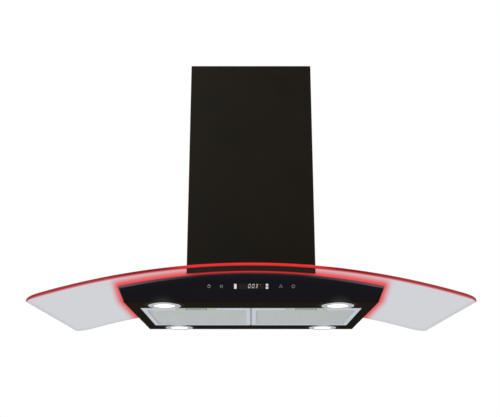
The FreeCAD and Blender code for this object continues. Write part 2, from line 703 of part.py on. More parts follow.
def housing_half():
    """The blower housing's right half, from the middle plane to its inlet wall."""
    half = HOUSING_HALF_WIDTH
    outside = scroll_outline(0).extrude(V(half, 0, 0))
    inside = scroll_outline(HOUSING_WALL).extrude(V(half - HOUSING_WALL, 0, 0))
    flange = block(0, half + HOUSING_FLANGE, HOUSING_BACK_G - HOUSING_FLANGE / 2,
                   OUTLET_FRONT_G + HOUSING_FLANGE / 2, FRAME_PLATE - HOUSING_FLANGE_THICKNESS, FRAME_PLATE)
    bosses = [crosswise(g, z, HOUSING_BOSS_RADIUS, 0, HOUSING_BOSS_LENGTH) for g, z in seam_places(0)]
    shell = joined([outside, flange] + bosses).cut(inside)
    shell = shell.cut(crosswise(FAN_AXIS_G, FAN_AXIS_Z, INLET_RADIUS, 0, half + BEYOND))
    for g, z in seam_places(HOUSING_BOSS_RADIUS / 2):
        shell = shell.cut(crosswise(g, z, SCREW_RADIUS, -BEYOND, HOUSING_BOSS_LENGTH))
    for x, g in housing_screw_places():
        shell = shell.cut(hole(V(x, -g, FRAME_TOP), V(0, 0, -1), SCREW_LENGTH))
    for angle in spider_angles():
        g, z = on_spider(SPIDER_SCREW_RADIUS, angle)
        shell = shell.cut(crosswise(g, z, SCREW_RADIUS, half - HOUSING_WALL, half))
    return shell


def seam_screws():
    screws = []
    for g, z in seam_places(HOUSING_BOSS_RADIUS / 2):
        start = V(HOUSING_BOSS_LENGTH, -g, z)
        screws.append(screw(start, V(-1, 0, 0), HOUSING_BOSS_LENGTH + BEYOND))
    return group(screws)


def spider_angles():
    for arm in range(3):
        yield math.radians(90 + 120 * arm)


def on_spider(radius, angle):
    """g and z of a place on the inlet, at a radius and an angle about the fan's axis."""
    return FAN_AXIS_G + radius * math.cos(angle), FAN_AXIS_Z + radius * math.sin(angle)


def inlet_spider(boss_length):
    """Ring with three arms over the right inlet; its boss reaches in by boss_length."""
    low = HOUSING_HALF_WIDTH
    high = low + SPIDER_THICKNESS
    ring = crosswise(FAN_AXIS_G, FAN_AXIS_Z, SPIDER_RADIUS, low, high)
    ring = ring.cut(crosswise(FAN_AXIS_G, FAN_AXIS_Z, SPIDER_INNER_RADIUS, low, high))
    disc = crosswise(FAN_AXIS_G, FAN_AXIS_Z, SPIDER_DISC_RADIUS, low, high)
    pieces = [ring, disc]
    for angle in spider_angles():
        arm = block(low, high, FAN_AXIS_G - SPIDER_ARM_WIDTH / 2, FAN_AXIS_G + SPIDER_ARM_WIDTH / 2,
                    FAN_AXIS_Z, FAN_AXIS_Z + (SPIDER_INNER_RADIUS + SPIDER_RADIUS) / 2)
        turn = 90 - math.degrees(angle)
        arm.rotate(V(0, -FAN_AXIS_G, FAN_AXIS_Z), V(1, 0, 0), turn)
        pieces.append(arm)
    if boss_length:
        pieces.append(crosswise(FAN_AXIS_G, FAN_AXIS_Z, SPIDER_BOSS_RADIUS, low - boss_length, low))
    spider = joined(pieces)
    for angle in spider_angles():
        g, z = on_spider(SPIDER_SCREW_RADIUS, angle)
        spider = spider.cut(crosswise(g, z, SCREW_RADIUS, low, high))
    return spider


def inlet_screws():
    screws = []
    for angle in spider_angles():
        g, z = on_spider(SPIDER_SCREW_RADIUS, angle)
        start = V(HOUSING_HALF_WIDTH + SPIDER_THICKNESS, -g, z)
        right = screw(start, V(-1, 0, 0), SPIDER_THICKNESS + HOUSING_WALL)
        screws += [right, other_side(right)]
    return group(screws)


def impeller():
    """Double-inlet squirrel-cage fan: disc and hub, blades and two rims."""
    disc_x = FAN_DISC_X
    disc_radius = (FAN_INNER_RADIUS + FAN_RADIUS) / 2
    pieces = [crosswise(FAN_AXIS_G, FAN_AXIS_Z, disc_radius, disc_x, disc_x + FAN_DISC_THICKNESS)]
    pieces.append(crosswise(FAN_AXIS_G, FAN_AXIS_Z, HUB_RADIUS, disc_x - HUB_LENGTH, disc_x))
    for low in (-FAN_HALF_WIDTH, FAN_HALF_WIDTH - FAN_RIM_WIDTH):
        rim = crosswise(FAN_AXIS_G, FAN_AXIS_Z, FAN_RADIUS, low, low + FAN_RIM_WIDTH)
        pieces.append(rim.cut(crosswise(FAN_AXIS_G, FAN_AXIS_Z, FAN_INNER_RADIUS, low, low + FAN_RIM_WIDTH)))
    radial = (FAN_RADIUS - FAN_INNER_RADIUS) / 2
    middle = (FAN_RADIUS + FAN_INNER_RADIUS) / 2
    for number in range(FAN_BLADES):
        blade = block(-FAN_HALF_WIDTH, FAN_HALF_WIDTH,
                      FAN_AXIS_G - BLADE_THICKNESS / 2, FAN_AXIS_G + BLADE_THICKNESS / 2,
                      FAN_AXIS_Z + middle - radial, FAN_AXIS_Z + middle + radial)
        blade.rotate(V(0, -FAN_AXIS_G, FAN_AXIS_Z + middle), V(1, 0, 0), BLADE_TURN)
        blade.rotate(V(0, -FAN_AXIS_G, FAN_AXIS_Z), V(1, 0, 0), 360.0 * number / FAN_BLADES)
        pieces.append(blade)
    fan = joined(pieces)
    return fan.cut(crosswise(FAN_AXIS_G, FAN_AXIS_Z, SHAFT_RADIUS, -FAN_HALF_WIDTH, FAN_HALF_WIDTH))


def motor_shaft():
    low = FAN_DISC_X - HUB_LENGTH - SHAFT_STUB
    return crosswise(FAN_AXIS_G, FAN_AXIS_Z, SHAFT_RADIUS, low, MOTOR_FACE_X + SHAFT_IN_MOTOR)


def motor():
    """Motor can inside the fan, with a smaller end bell that the spider holds."""
    can = crosswise(FAN_AXIS_G, FAN_AXIS_Z, MOTOR_RADIUS, MOTOR_FACE_X, MOTOR_BACK_X - MOTOR_END_LENGTH)
    end = crosswise(FAN_AXIS_G, FAN_AXIS_Z, MOTOR_END_RADIUS, MOTOR_BACK_X - MOTOR_END_LENGTH, MOTOR_BACK_X)
    bore = crosswise(FAN_AXIS_G, FAN_AXIS_Z, SHAFT_RADIUS + SHAFT_GAP, MOTOR_FACE_X,
                     MOTOR_FACE_X + SHAFT_IN_MOTOR + SHAFT_STUB)
    return joined([can, end]).cut(bore)


def capacitor():
    x = capacitor_place()
    return upright(x, CAPACITOR_G, CAPACITOR_RADIUS, CAPACITOR_Z, CAPACITOR_Z + CAPACITOR_LENGTH)


# Outlet spigot and flaps

def outlet_spigot():
    """Round collar for the duct, with a ledge that the closed flaps rest over."""
    base = SPIGOT_BASE
    flange = upright(0, SPIGOT_G, SPIGOT_FLANGE_RADIUS, base, base + SPIGOT_FLANGE_THICKNESS)
    collar = upright(0, SPIGOT_G, SPIGOT_RADIUS, base, base + SPIGOT_HEIGHT)
    bore = upright(0, SPIGOT_G, SPIGOT_INSIDE, base, base + SPIGOT_HEIGHT)
    ledge_top = FLAP_Z - FLAP_THICKNESS / 2 - SLIDE_GAP
    ledge = upright(0, SPIGOT_G, SPIGOT_INSIDE, base, ledge_top)
    ledge_bore = upright(0, SPIGOT_G, SPIGOT_INSIDE - FLAP_LEDGE_WIDTH, base, ledge_top)
    spigot = joined([flange, collar]).cut(bore)
    spigot = joined([spigot, ledge.cut(ledge_bore)])
    spigot = spigot.cut(flap_pin())
    for x, g in spigot_screw_places():
        start = V(x, -g, base + SPIGOT_FLANGE_THICKNESS)
        spigot = spigot.cut(hole(start, V(0, 0, -1), SPIGOT_FLANGE_THICKNESS))
    return spigot


def flap_pin():
    reach = SPIGOT_RADIUS - SPIGOT_WALL / 2
    return lengthwise(0, FLAP_Z, FLAP_PIN_RADIUS, SPIGOT_G - reach, SPIGOT_G + reach)


def flap(first_knuckle):
    """The right flap: half a disc with knuckles at every second place along the pin."""
    low = FLAP_Z - FLAP_THICKNESS / 2
    high = FLAP_Z + FLAP_THICKNESS / 2
    disc = upright(0, SPIGOT_G, SPIGOT_INSIDE - FLAP_EDGE_GAP, low, high)
    clear = KNUCKLE_RADIUS + SLIDE_GAP
    plate = disc.common(block(clear, SPIGOT_RADIUS, 0, SPIGOT_G + SPIGOT_RADIUS, low, high))
    pieces = [plate]
    step = KNUCKLE_SPAN / KNUCKLE_COUNT
    start = SPIGOT_G - KNUCKLE_SPAN / 2
    for number in range(first_knuckle, KNUCKLE_COUNT, 2):
        g_low = start + number * step + SLIDE_GAP
        g_high = start + (number + 1) * step - SLIDE_GAP
        pieces.append(lengthwise(0, FLAP_Z, KNUCKLE_RADIUS, g_low, g_high))
        pieces.append(block(0, clear + FLAP_THICKNESS, g_low, g_high, low, high))
    bore = lengthwise(0, FLAP_Z, FLAP_PIN_RADIUS + SHAFT_GAP, SPIGOT_G - SPIGOT_RADIUS,
                      SPIGOT_G + SPIGOT_RADIUS)
    return joined(pieces).cut(bore)


# Electrical boxes

def terminal_box():
    """Open box on the frame's right side, with posts for the power board."""
    low = FRAME_HALF_WIDTH
    high = low + TERMINAL_REACH - TERMINAL_WALL
    g_high = TERMINAL_G + TERMINAL_LENGTH
    z_high = BOX_HEIGHT_Z + TERMINAL_HEIGHT
    wall = TERMINAL_WALL
    box = block(low, high, TERMINAL_G, g_high, BOX_HEIGHT_Z, z_high)
    box = box.cut(block(low + wall, high + wall, TERMINAL_G + wall, g_high - wall,
                        BOX_HEIGHT_Z + wall, z_high - wall))
    posts = []
    for g in (TERMINAL_G + 2 * POWER_BOARD_EDGE, g_high - 2 * POWER_BOARD_EDGE):
        for z in (BOX_HEIGHT_Z + 2 * POWER_BOARD_EDGE, z_high - 2 * POWER_BOARD_EDGE):
            posts.append(crosswise(g, z, POST_RADIUS, low + wall / 2, low + wall + POWER_BOARD_STANDOFF))
    box = joined([box] + posts)
    x, g = gland_place()
    box = box.cut(upright(x, g, GLAND_BORE_RADIUS + TERMINAL_WALL, z_high - wall, z_high))
    for side, g, z in side_screw_places():
        if side > 0:
            box = box.cut(hole(V(low, -g, z), V(1, 0, 0), INNER_BRACKET_SHEET))
    return box


def gland_place():
    return FRAME_HALF_WIDTH + TERMINAL_REACH / 2, TERMINAL_G + TERMINAL_LENGTH / 2


def terminal_lid():
    low = FRAME_HALF_WIDTH + TERMINAL_REACH - TERMINAL_WALL
    return block(low, low + TERMINAL_WALL, TERMINAL_G, TERMINAL_G + TERMINAL_LENGTH,
                 BOX_HEIGHT_Z, BOX_HEIGHT_Z + TERMINAL_HEIGHT)


def power_board():
    """Circuit board on the posts, with its relay and transformer blocks."""
    low = FRAME_HALF_WIDTH + TERMINAL_WALL + POWER_BOARD_STANDOFF
    high = low + POWER_BOARD_THICKNESS
    g_low = TERMINAL_G + POWER_BOARD_EDGE
    z_low = BOX_HEIGHT_Z + POWER_BOARD_EDGE
    board = block(low, high, g_low, TERMINAL_G + TERMINAL_LENGTH - POWER_BOARD_EDGE,
                  z_low, BOX_HEIGHT_Z + TERMINAL_HEIGHT - POWER_BOARD_EDGE)
    pieces = [board]
    for number in range(2):
        g = g_low + POWER_BOARD_EDGE + number * (RELAY_LENGTH + POWER_BOARD_EDGE)
        z = z_low + POWER_BOARD_EDGE
        pieces.append(block(high, high + RELAY_DEPTH, g, g + RELAY_LENGTH, z, z + RELAY_HEIGHT))
    return joined(pieces)


def cable_gland():
    """Threaded sleeve and nut on the terminal box's top, open for the mains cable."""
    x, g = gland_place()
    base = BOX_HEIGHT_Z + TERMINAL_HEIGHT
    sleeve = upright(x, g, GLAND_RADIUS, base, base + GLAND_HEIGHT)
    nut = upright(x, g, GLAND_NUT_RADIUS, base, base + GLAND_NUT_HEIGHT)
    tail = upright(x, g, GLAND_BORE_RADIUS + TERMINAL_WALL, base - TERMINAL_WALL, base)
    bore = upright(x, g, GLAND_BORE_RADIUS, base - TERMINAL_WALL, base + GLAND_HEIGHT)
    return joined([sleeve, nut, tail]).cut(bore)


def led_driver():
    """Lamp power supply on the frame's left side, with a screw ear at each end."""
    low = -FRAME_HALF_WIDTH - DRIVER_REACH
    z_high = BOX_HEIGHT_Z + DRIVER_HEIGHT
    body = block(low, -FRAME_HALF_WIDTH, TERMINAL_G, TERMINAL_G + DRIVER_LENGTH, BOX_HEIGHT_Z, z_high)
    rounded = [edge for edge in body.Edges if edge.CenterOfMass.x < low + SLIDE_GAP]
    body = body.makeFillet(DRIVER_CORNER, rounded)
    ears = block(-FRAME_HALF_WIDTH - DRIVER_EAR_THICKNESS, -FRAME_HALF_WIDTH, TERMINAL_G - DRIVER_EAR,
                 TERMINAL_G + DRIVER_LENGTH + DRIVER_EAR, BOX_HEIGHT_Z + DRIVER_EAR, z_high - DRIVER_EAR)
    driver = joined([body, ears])
    for side, g, z in side_screw_places():
        if side < 0:
            driver = driver.cut(hole(V(-FRAME_HALF_WIDTH, -g, z), V(-1, 0, 0), INNER_BRACKET_SHEET))
    return driver


# Chimney

def chimney_section(half, front, back, z_low, z_high):
    """Three-sided sheet cover with narrow flanges turned in along the wall."""
    outside = block(-half, half, back, front, z_low, z_high)
    inside = block(-half + CHIMNEY_SHEET, half - CHIMNEY_SHEET, back + CHIMNEY_SHEET,
                   front - CHIMNEY_SHEET, z_low - BEYOND, z_high + BEYOND)
    mouth = block(-half + CHIMNEY_FLANGE, half - CHIMNEY_FLANGE, back - BEYOND,
                  back + CHIMNEY_SHEET + BEYOND, z_low - BEYOND, z_high + BEYOND)

    def front_edges(shape, face):
        return [edge for edge in shape.Edges
                if abs(edge.CenterOfMass.y + face) < SLIDE_GAP and edge.BoundBox.ZLength > CHIMNEY_FLANGE]

    outside = outside.makeFillet(CHIMNEY_CORNER, front_edges(outside, front))
    inside = inside.makeFillet(CHIMNEY_CORNER / 2, front_edges(inside, front - CHIMNEY_SHEET))
    return outside.cut(inside).cut(mouth)


def chimney_outer():
    """The lower section, which stands over the glass and hides the blower."""
    section = chimney_section(CHIMNEY_HALF_WIDTH, CHIMNEY_DEPTH, 0, 0, CHIMNEY_TOP)
    section = section.cut(arch(GLASS_THICKNESS + SLIDE_GAP))
    for side, g, z in clip_screw_places():
        start = V(side * CHIMNEY_HALF_WIDTH, -g, z)
        section = section.cut(hole(start, V(-side, 0, 0), CHIMNEY_SHEET))
    return section


def chimney_inner():
    """The upper section, which slides up out of the lower one to reach the ceiling."""
    section = chimney_section(INNER_HALF_WIDTH, INNER_FRONT, INNER_BACK, INNER_TOP - INNER_LENGTH, INNER_TOP)
    for side, g, z in bracket_screw_places():
        section = section.cut(hole(V(side * INNER_HALF_WIDTH, -g, z), V(-side, 0, 0), CHIMNEY_SHEET))
    return section


def bracket_levels():
    high = INNER_TOP - INNER_BRACKET_DROP
    return high - INNER_BRACKET_HEIGHT, high


def bracket_screw_places():
    low, high = bracket_levels()
    for side in SIDES:
        yield side, INNER_BACK + CHIMNEY_SHEET + INNER_BRACKET_EAR / 2, (low + high) / 2


def chimney_bracket():
    """Wall strip whose ears stand inside the upper section's sides."""
    low, high = bracket_levels()
    sheet = INNER_BRACKET_SHEET
    strip_half = CHIMNEY_HALF_WIDTH - CHIMNEY_FLANGE - 2 * CHIMNEY_SHEET
    ear_x = INNER_HALF_WIDTH - CHIMNEY_SHEET
    bend_g = INNER_BACK + CHIMNEY_SHEET + SLIDE_GAP
    pieces = [block(-strip_half, strip_half, 0, sheet, low, high)]
    for side in SIDES:
        step = block(strip_half - sheet, strip_half, 0, bend_g + sheet, low, high)
        shelf = block(strip_half - sheet, ear_x, bend_g, bend_g + sheet, low, high)
        ear = block(ear_x - sheet, ear_x, bend_g, bend_g + INNER_BRACKET_EAR, low, high)
        for piece in (step, shelf, ear):
            pieces.append(piece if side > 0 else other_side(piece))
    bracket = joined(pieces)
    for x in (-BRACKET_HOLE_SPACING / 2, BRACKET_HOLE_SPACING / 2):
        bracket = bracket.cut(lengthwise(x, (low + high) / 2, BRACKET_HOLE_RADIUS, -BEYOND, sheet + BEYOND))
    for side, g, z in bracket_screw_places():
        bracket = bracket.cut(hole(V(side * ear_x, -g, z), V(-side, 0, 0), sheet))
    return bracket


def bracket_screws():
    """Screws from inside, through the bracket's ears and the upper section's sides."""
    screws = []
    start_x = INNER_HALF_WIDTH - CHIMNEY_SHEET - INNER_BRACKET_SHEET
    for side, g, z in bracket_screw_places():
        start = V(side * start_x, -g, z)
        screws.append(screw(start, V(side, 0, 0), INNER_BRACKET_SHEET + CHIMNEY_SHEET))
    return group(screws)


def chimney_clips():
    """Bent brackets between the blower frame and the lower section's sides."""
    clips = []
    sheet = INNER_BRACKET_SHEET
    low_g = CLIP_G - CLIP_LENGTH / 2
    high_g = CLIP_G + CLIP_LENGTH / 2
    inner_x = FRAME_HALF_WIDTH
    outer_x = CHIMNEY_HALF_WIDTH - CHIMNEY_SHEET
    top = CLIP_HEIGHT_Z + CLIP_EAR
    pieces = [
        block(inner_x, outer_x, low_g, high_g, CLIP_HEIGHT_Z, CLIP_HEIGHT_Z + sheet),
        block(inner_x, inner_x + sheet, low_g, high_g, CLIP_HEIGHT_Z, top),
        block(outer_x - sheet, outer_x, low_g, high_g, CLIP_HEIGHT_Z, top),
    ]
    clip = joined(pieces)
    hole_z = CLIP_HEIGHT_Z + CLIP_EAR / 2
    clip = clip.cut(crosswise(CLIP_G, hole_z, SCREW_RADIUS, inner_x - BEYOND, outer_x + BEYOND))
    clips = [clip, other_side(clip)]
    return group(clips)


def chimney_screws():
    screws = []
    for side, g, z in clip_screw_places():
        start = V(side * CHIMNEY_HALF_WIDTH, -g, z)
        screws.append(screw(start, V(-side, 0, 0), CHIMNEY_SHEET + INNER_BRACKET_SHEET))
    return group(screws)


# Grease filters, drawn on the right

def filter_frame():
    """Aluminium border with the latch's recess and rails, and tabs that hook over the tray."""
    left = FILTER_INSIDE
    right = FILTER_OUTSIDE
    frame = block(left, right, FILTER_BACK, FILTER_FRONT, 0, FILTER_HEIGHT)
    window = block(left + FILTER_SIDE_BORDER, right - FILTER_SIDE_BORDER, FILTER_BACK + FILTER_BACK_BORDER,
                   FILTER_FRONT - FILTER_FRONT_BORDER, -BEYOND, FILTER_HEIGHT + BEYOND)
    middle = FILTER_MIDDLE
    recess = block(middle - RECESS_HALF_WIDTH, middle + RECESS_HALF_WIDTH, RECESS_BACK, RECESS_FRONT,
                   -BEYOND, RECESS_DEPTH)
    tongue = TONGUE_HALF_WIDTH + SLIDE_GAP
    slot = block(middle - tongue, middle + tongue, RECESS_FRONT - SLIDE_GAP, FILTER_FRONT + BEYOND,
                 RAIL_TOP - TONGUE_THICKNESS - SLIDE_GAP, RAIL_TOP + SLIDE_GAP)
    frame = frame.cut(window).cut(recess).cut(slot)
    pieces = [frame]
    rail_inside = LATCH_HALF_WIDTH + SLIDE_GAP
    for side in SIDES:
        reach = sorted((middle + side * rail_inside, middle + side * RAIL_OUTSIDE))
        web = sorted((middle + side * (RAIL_OUTSIDE - RAIL_WEB), middle + side * RAIL_OUTSIDE))
        pieces.append(block(*reach, RECESS_BACK, RECESS_FRONT, RAIL_TOP - RAIL_THICKNESS, RAIL_TOP))
        pieces.append(block(*web, RECESS_BACK, RECESS_FRONT, RAIL_TOP - RAIL_THICKNESS, RECESS_DEPTH))
    tab_low = SHEET + SLIDE_GAP
    for x in (left + TAB_INSET, right - TAB_INSET - TAB_WIDTH):
        pieces.append(block(x, x + TAB_WIDTH, FILTER_BACK - TAB_LENGTH, FILTER_BACK,
                            tab_low, tab_low + TAB_THICKNESS))
    return joined(pieces)


def filter_mesh():
    return block(FILTER_INSIDE + FILTER_SIDE_BORDER, FILTER_OUTSIDE - FILTER_SIDE_BORDER,
                 FILTER_BACK + FILTER_BACK_BORDER, FILTER_FRONT - FILTER_FRONT_BORDER,
                 MESH_RECESS, MESH_RECESS + MESH_THICKNESS)


def filter_latch():
    """Sliding tab with a finger grip, wings that run over the rails and a tongue at the front."""
    middle = FILTER_MIDDLE
    low = LATCH_TOP - LATCH_HEIGHT
    half = LATCH_HALF_WIDTH
    body = block(middle - half, middle + half, LATCH_BACK, LATCH_FRONT, low, LATCH_TOP)
    wings = block(middle - half - WING_WIDTH, middle + half + WING_WIDTH, LATCH_BACK, LATCH_FRONT,
                  WING_LOW, LATCH_TOP)
    tongue = block(middle - TONGUE_HALF_WIDTH, middle + TONGUE_HALF_WIDTH, LATCH_FRONT - SLIDE_GAP,
                   FILTER_FRONT - SLIDE_GAP, RAIL_TOP - TONGUE_THICKNESS, RAIL_TOP)
    grip_g = (LATCH_BACK + LATCH_FRONT) / 2
    grip = block(middle - LATCH_GRIP_WIDTH / 2, middle + LATCH_GRIP_WIDTH / 2,
                 grip_g - LATCH_GRIP_LENGTH / 2, grip_g + LATCH_GRIP_LENGTH / 2,
                 low - BEYOND, low + LATCH_GRIP_DEPTH)
    return joined([body, wings, tongue]).cut(grip)


def latch_spring():
    """Bowed leaf between the recess's back wall and the latch."""
    middle = FILTER_MIDDLE
    low = RECESS_DEPTH - SLIDE_GAP - SPRING_HEIGHT
    back = RECESS_BACK + SLIDE_GAP
    crown = LATCH_BACK - SLIDE_GAP

    def bow(inset):
        left = V(middle - SPRING_HALF_WIDTH, -back, low)
        right = V(middle + SPRING_HALF_WIDTH, -back, low)
        return left, V(middle, -(crown - inset), low), right

    outer = Part.Arc(*bow(0)).toShape()
    left, top, right = bow(SPRING_THICKNESS)
    foot = V(SPRING_THICKNESS, 0, 0)
    inner = Part.Arc(right - foot, top, left + foot).toShape()
    ends = [Part.makeLine(bow(0)[2], right - foot), Part.makeLine(left + foot, bow(0)[0])]
    face = Part.Face(Part.Wire([outer, ends[0], inner, ends[1]]))
    return face.extrude(V(0, 0, SPRING_HEIGHT))


# Lamps

def lamp_bezel(x, g):
    """Chrome ring under the floor, with a sloping rim."""
    rim = Part.makeCone(BEZEL_RADIUS - BEZEL_CHAMFER, BEZEL_RADIUS, BEZEL_CHAMFER, V(x, -g, -BEZEL_HEIGHT))
    band = upright(x, g, BEZEL_RADIUS, BEZEL_CHAMFER - BEZEL_HEIGHT, 0)
    return joined([rim, band]).cut(upright(x, g, LENS_RADIUS, -BEZEL_HEIGHT, 0))


def lamp_lens(x, g):
    return upright(x, g, LENS_RADIUS, -LENS_THICKNESS, 0)


def lamp_body(x, g):
    """LED module with cooling fins and two clips that hold it over the floor sheet."""
    core_top = LAMP_BODY_HEIGHT - LAMP_FIN_HEIGHT
    pieces = [upright(x, g, LAMP_BODY_RADIUS, 0, core_top)]
    span = 2 * LAMP_BODY_RADIUS / (LAMP_FIN_COUNT + 1)
    outline = upright(x, g, LAMP_BODY_RADIUS, core_top, LAMP_BODY_HEIGHT)
    for number in range(LAMP_FIN_COUNT):
        place = x - LAMP_BODY_RADIUS + span * (number + 1)
        fin = block(place - LAMP_FIN_THICKNESS / 2, place + LAMP_FIN_THICKNESS / 2,
                    g - LAMP_BODY_RADIUS, g + LAMP_BODY_RADIUS, core_top, LAMP_BODY_HEIGHT)
        pieces.append(fin.common(outline))
    reach = LAMP_BODY_RADIUS + LAMP_CLIP_REACH
    low = SHEET + SLIDE_GAP
    pieces.append(block(x - reach, x + reach, g - LAMP_CLIP_WIDTH / 2, g + LAMP_CLIP_WIDTH / 2,
                        low, low + LAMP_CLIP_HEIGHT))
    return joined(pieces)


# All pieces

def all_pieces():
    """Name and shape of every piece."""
    yield "canopy_base", canopy_base()
    yield "canopy_top", canopy_top()
    yield "fascia_glass", fascia_glass()
    yield "display_module", display_module()
    yield "touch_board", touch_board()
    yield "glow_guide", glow_guide()
    yield "glow_led_tape", glow_led_tape()
    yield "curved_glass", curved_glass()
    yield "glass_gasket", glass_gasket()
    yield "glass_screws", glass_screws()
    yield "glass_washers", glass_washers()
    yield "blower_frame", blower_frame()
    yield "frame_screws", frame_screws()
    yield "top_screws", top_screws()
    yield "side_screws", side_screws()
    right_half = housing_half()
    yield "blower_housing_right", right_half
    yield "blower_housing_left", other_side(right_half)
    yield "seam_screws", seam_screws()
    yield "motor_bracket", inlet_spider(HOUSING_HALF_WIDTH - MOTOR_BACK_X)
    yield "inlet_guard", other_side(inlet_spider(0))
    yield "inlet_screws", inlet_screws()
    yield "impeller", impeller()
    yield "motor_shaft", motor_shaft()
    yield "motor", motor()
    yield "capacitor", capacitor()
    yield "outlet_spigot", outlet_spigot()
    yield "flap_pin", flap_pin()
    yield "flap_right", flap(0)
    yield "flap_left", other_side(flap(1))
    yield "terminal_box", terminal_box()
    yield "terminal_lid", terminal_lid()
    yield "power_board", power_board()
    yield "cable_gland", cable_gland()
    yield "led_driver", led_driver()
    yield "chimney_outer", chimney_outer()
    yield "chimney_clips", chimney_clips()
    yield "chimney_screws", chimney_screws()
    yield "chimney_inner", chimney_inner()
    yield "chimney_bracket", chimney_bracket()
    yield "bracket_screws", bracket_screws()
    for name, drawn in (("filter_frame", filter_frame()), ("filter_mesh", filter_mesh()),
                        ("filter_latch", filter_latch()), ("latch_spring", latch_spring())):
        yield name + "_right", drawn
        yield name + "_left", other_side(drawn)
    for place, x, g in lamp_places():
        yield "lamp_bezel_" + place, lamp_bezel(x, g)
        yield "lamp_lens_" + place, lamp_lens(x, g)
        yield "lamp_body_" + place, lamp_body(x, g)


os.makedirs("parts", exist_ok=True)
for piece_name, piece in all_pieces():
    save(piece_name, piece)
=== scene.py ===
"""Dresses a wall-mounted range hood with an arched glass canopy: its glass, controls, filters, lamps and
finishes, laid out as an add-on. All lengths are in metres. The wall is the plane y = 0 and the front
faces -y."""

import json
import math

import bmesh
import bpy
import numpy as np
from bpy.props import FloatProperty, FloatVectorProperty, IntProperty, PointerProperty
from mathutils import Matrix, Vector


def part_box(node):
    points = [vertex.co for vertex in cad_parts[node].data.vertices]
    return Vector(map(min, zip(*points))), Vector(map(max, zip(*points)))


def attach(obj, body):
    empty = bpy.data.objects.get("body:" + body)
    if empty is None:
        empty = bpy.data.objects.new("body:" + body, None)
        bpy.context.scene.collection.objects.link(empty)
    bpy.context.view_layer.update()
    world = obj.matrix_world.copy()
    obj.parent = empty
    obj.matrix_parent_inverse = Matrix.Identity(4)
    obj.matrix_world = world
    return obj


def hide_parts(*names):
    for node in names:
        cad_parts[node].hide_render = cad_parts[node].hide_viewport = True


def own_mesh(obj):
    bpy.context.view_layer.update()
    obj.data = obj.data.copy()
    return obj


bl_info = {
    "name": "Curved Glass Range Hood",
    "version": (1, 0, 0),
    "blender": (4, 5, 0),
    "location": "View3D > Sidebar > Range Hood",
    "description": "Makes the glass, controls, filters, lamps and finishes of a range hood",
    "category": "Object",
}

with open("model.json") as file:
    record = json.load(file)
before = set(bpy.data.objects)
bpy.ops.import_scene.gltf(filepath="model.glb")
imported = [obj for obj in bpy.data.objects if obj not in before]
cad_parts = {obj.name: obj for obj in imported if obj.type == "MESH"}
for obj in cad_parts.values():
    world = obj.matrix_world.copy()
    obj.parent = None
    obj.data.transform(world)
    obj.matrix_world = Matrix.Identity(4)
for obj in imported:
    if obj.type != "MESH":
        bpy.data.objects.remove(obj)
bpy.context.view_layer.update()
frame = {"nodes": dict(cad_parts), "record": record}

MM = 0.001
SIDES = (("left", -1), ("right", 1))
ROWS = ("front", "back")
MERGE_DISTANCE = 1e-6

# Canopy, from the frame and the body's slopes
GLASS_LOW, GLASS_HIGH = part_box("curved_glass")
GLASS_HALF_WIDTH = GLASS_HIGH.x
GLASS_DEPTH = -GLASS_LOW.y
GLASS_THICKNESS = 6.0 * MM
GLASS_BOW = 12.0 * MM
GLASS_CROWN = GLASS_HIGH.z - GLASS_THICKNESS
GLASS_SAG = GLASS_CROWN - GLASS_LOW.z
ARCH_RADIUS = (GLASS_HALF_WIDTH ** 2 + GLASS_SAG ** 2) / (2 * GLASS_SAG)
GLASS_FRONT_CORNER = 28.0 * MM
GLASS_BACK_CORNER = 40.0 * MM
NOTCH_HALF_WIDTH = 112.0 * MM
NOTCH_DEPTH = 219.0 * MM
NOTCH_CORNER = 8.0 * MM
FLOOR_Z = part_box("canopy_base")[0].z
FLOOR_HALF_WIDTH = 264.0 * MM
FLOOR_FRONT = 412.0 * MM
FRONT_LEAN = 0.75          # forward per metre of height
SIDE_LEAN = 1.0 / 3.0      # outward per metre of height
GLOW_GAP = 5.3 * MM        # between the body's top and the glass
CROWN_HEIGHT = GLASS_CROWN - GLOW_GAP - FLOOR_Z      # of the body, in its middle and at its corners
CORNER_HEIGHT = CROWN_HEIGHT - FLOOR_HALF_WIDTH ** 2 / (2 * ARCH_RADIUS)
BODY_HALF_WIDTH = FLOOR_HALF_WIDTH + SIDE_LEAN * CORNER_HEIGHT
CORNER_FRONT = FLOOR_FRONT + FRONT_LEAN * CORNER_HEIGHT
FASCIA_THICKNESS = 4.0 * MM
FASCIA_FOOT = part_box("fascia_glass")[0].z - FLOOR_Z
SLOPE = math.hypot(1.0, FRONT_LEAN)
ACROSS = np.array([1.0, 0.0, 0.0])
UP_SLOPE = np.array([0.0, -FRONT_LEAN / SLOPE, 1.0 / SLOPE])
OUT_OF_FASCIA = np.array([0.0, -1.0 / SLOPE, -FRONT_LEAN / SLOPE])

# Lamps, from the frame
BEZEL_LOW, BEZEL_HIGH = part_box("lamp_bezel_front_right")
LENS_LOW, LENS_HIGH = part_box("lamp_lens_front_right")
LAMP_X = (BEZEL_LOW.x + BEZEL_HIGH.x) / 2
LAMP_Y = {row: sum(corner.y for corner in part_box(f"lamp_bezel_{row}_right")) / 2 for row in ROWS}
BEZEL_RADIUS = (BEZEL_HIGH.x - BEZEL_LOW.x) / 2
LENS_RADIUS = (LENS_HIGH.x - LENS_LOW.x) / 2


# Sizes and colours that a user would change

def length(label, description, default, low, high):
    """A length setting."""
    return FloatProperty(name=label, description=description, default=default, min=low, max=high,
                         unit="LENGTH")


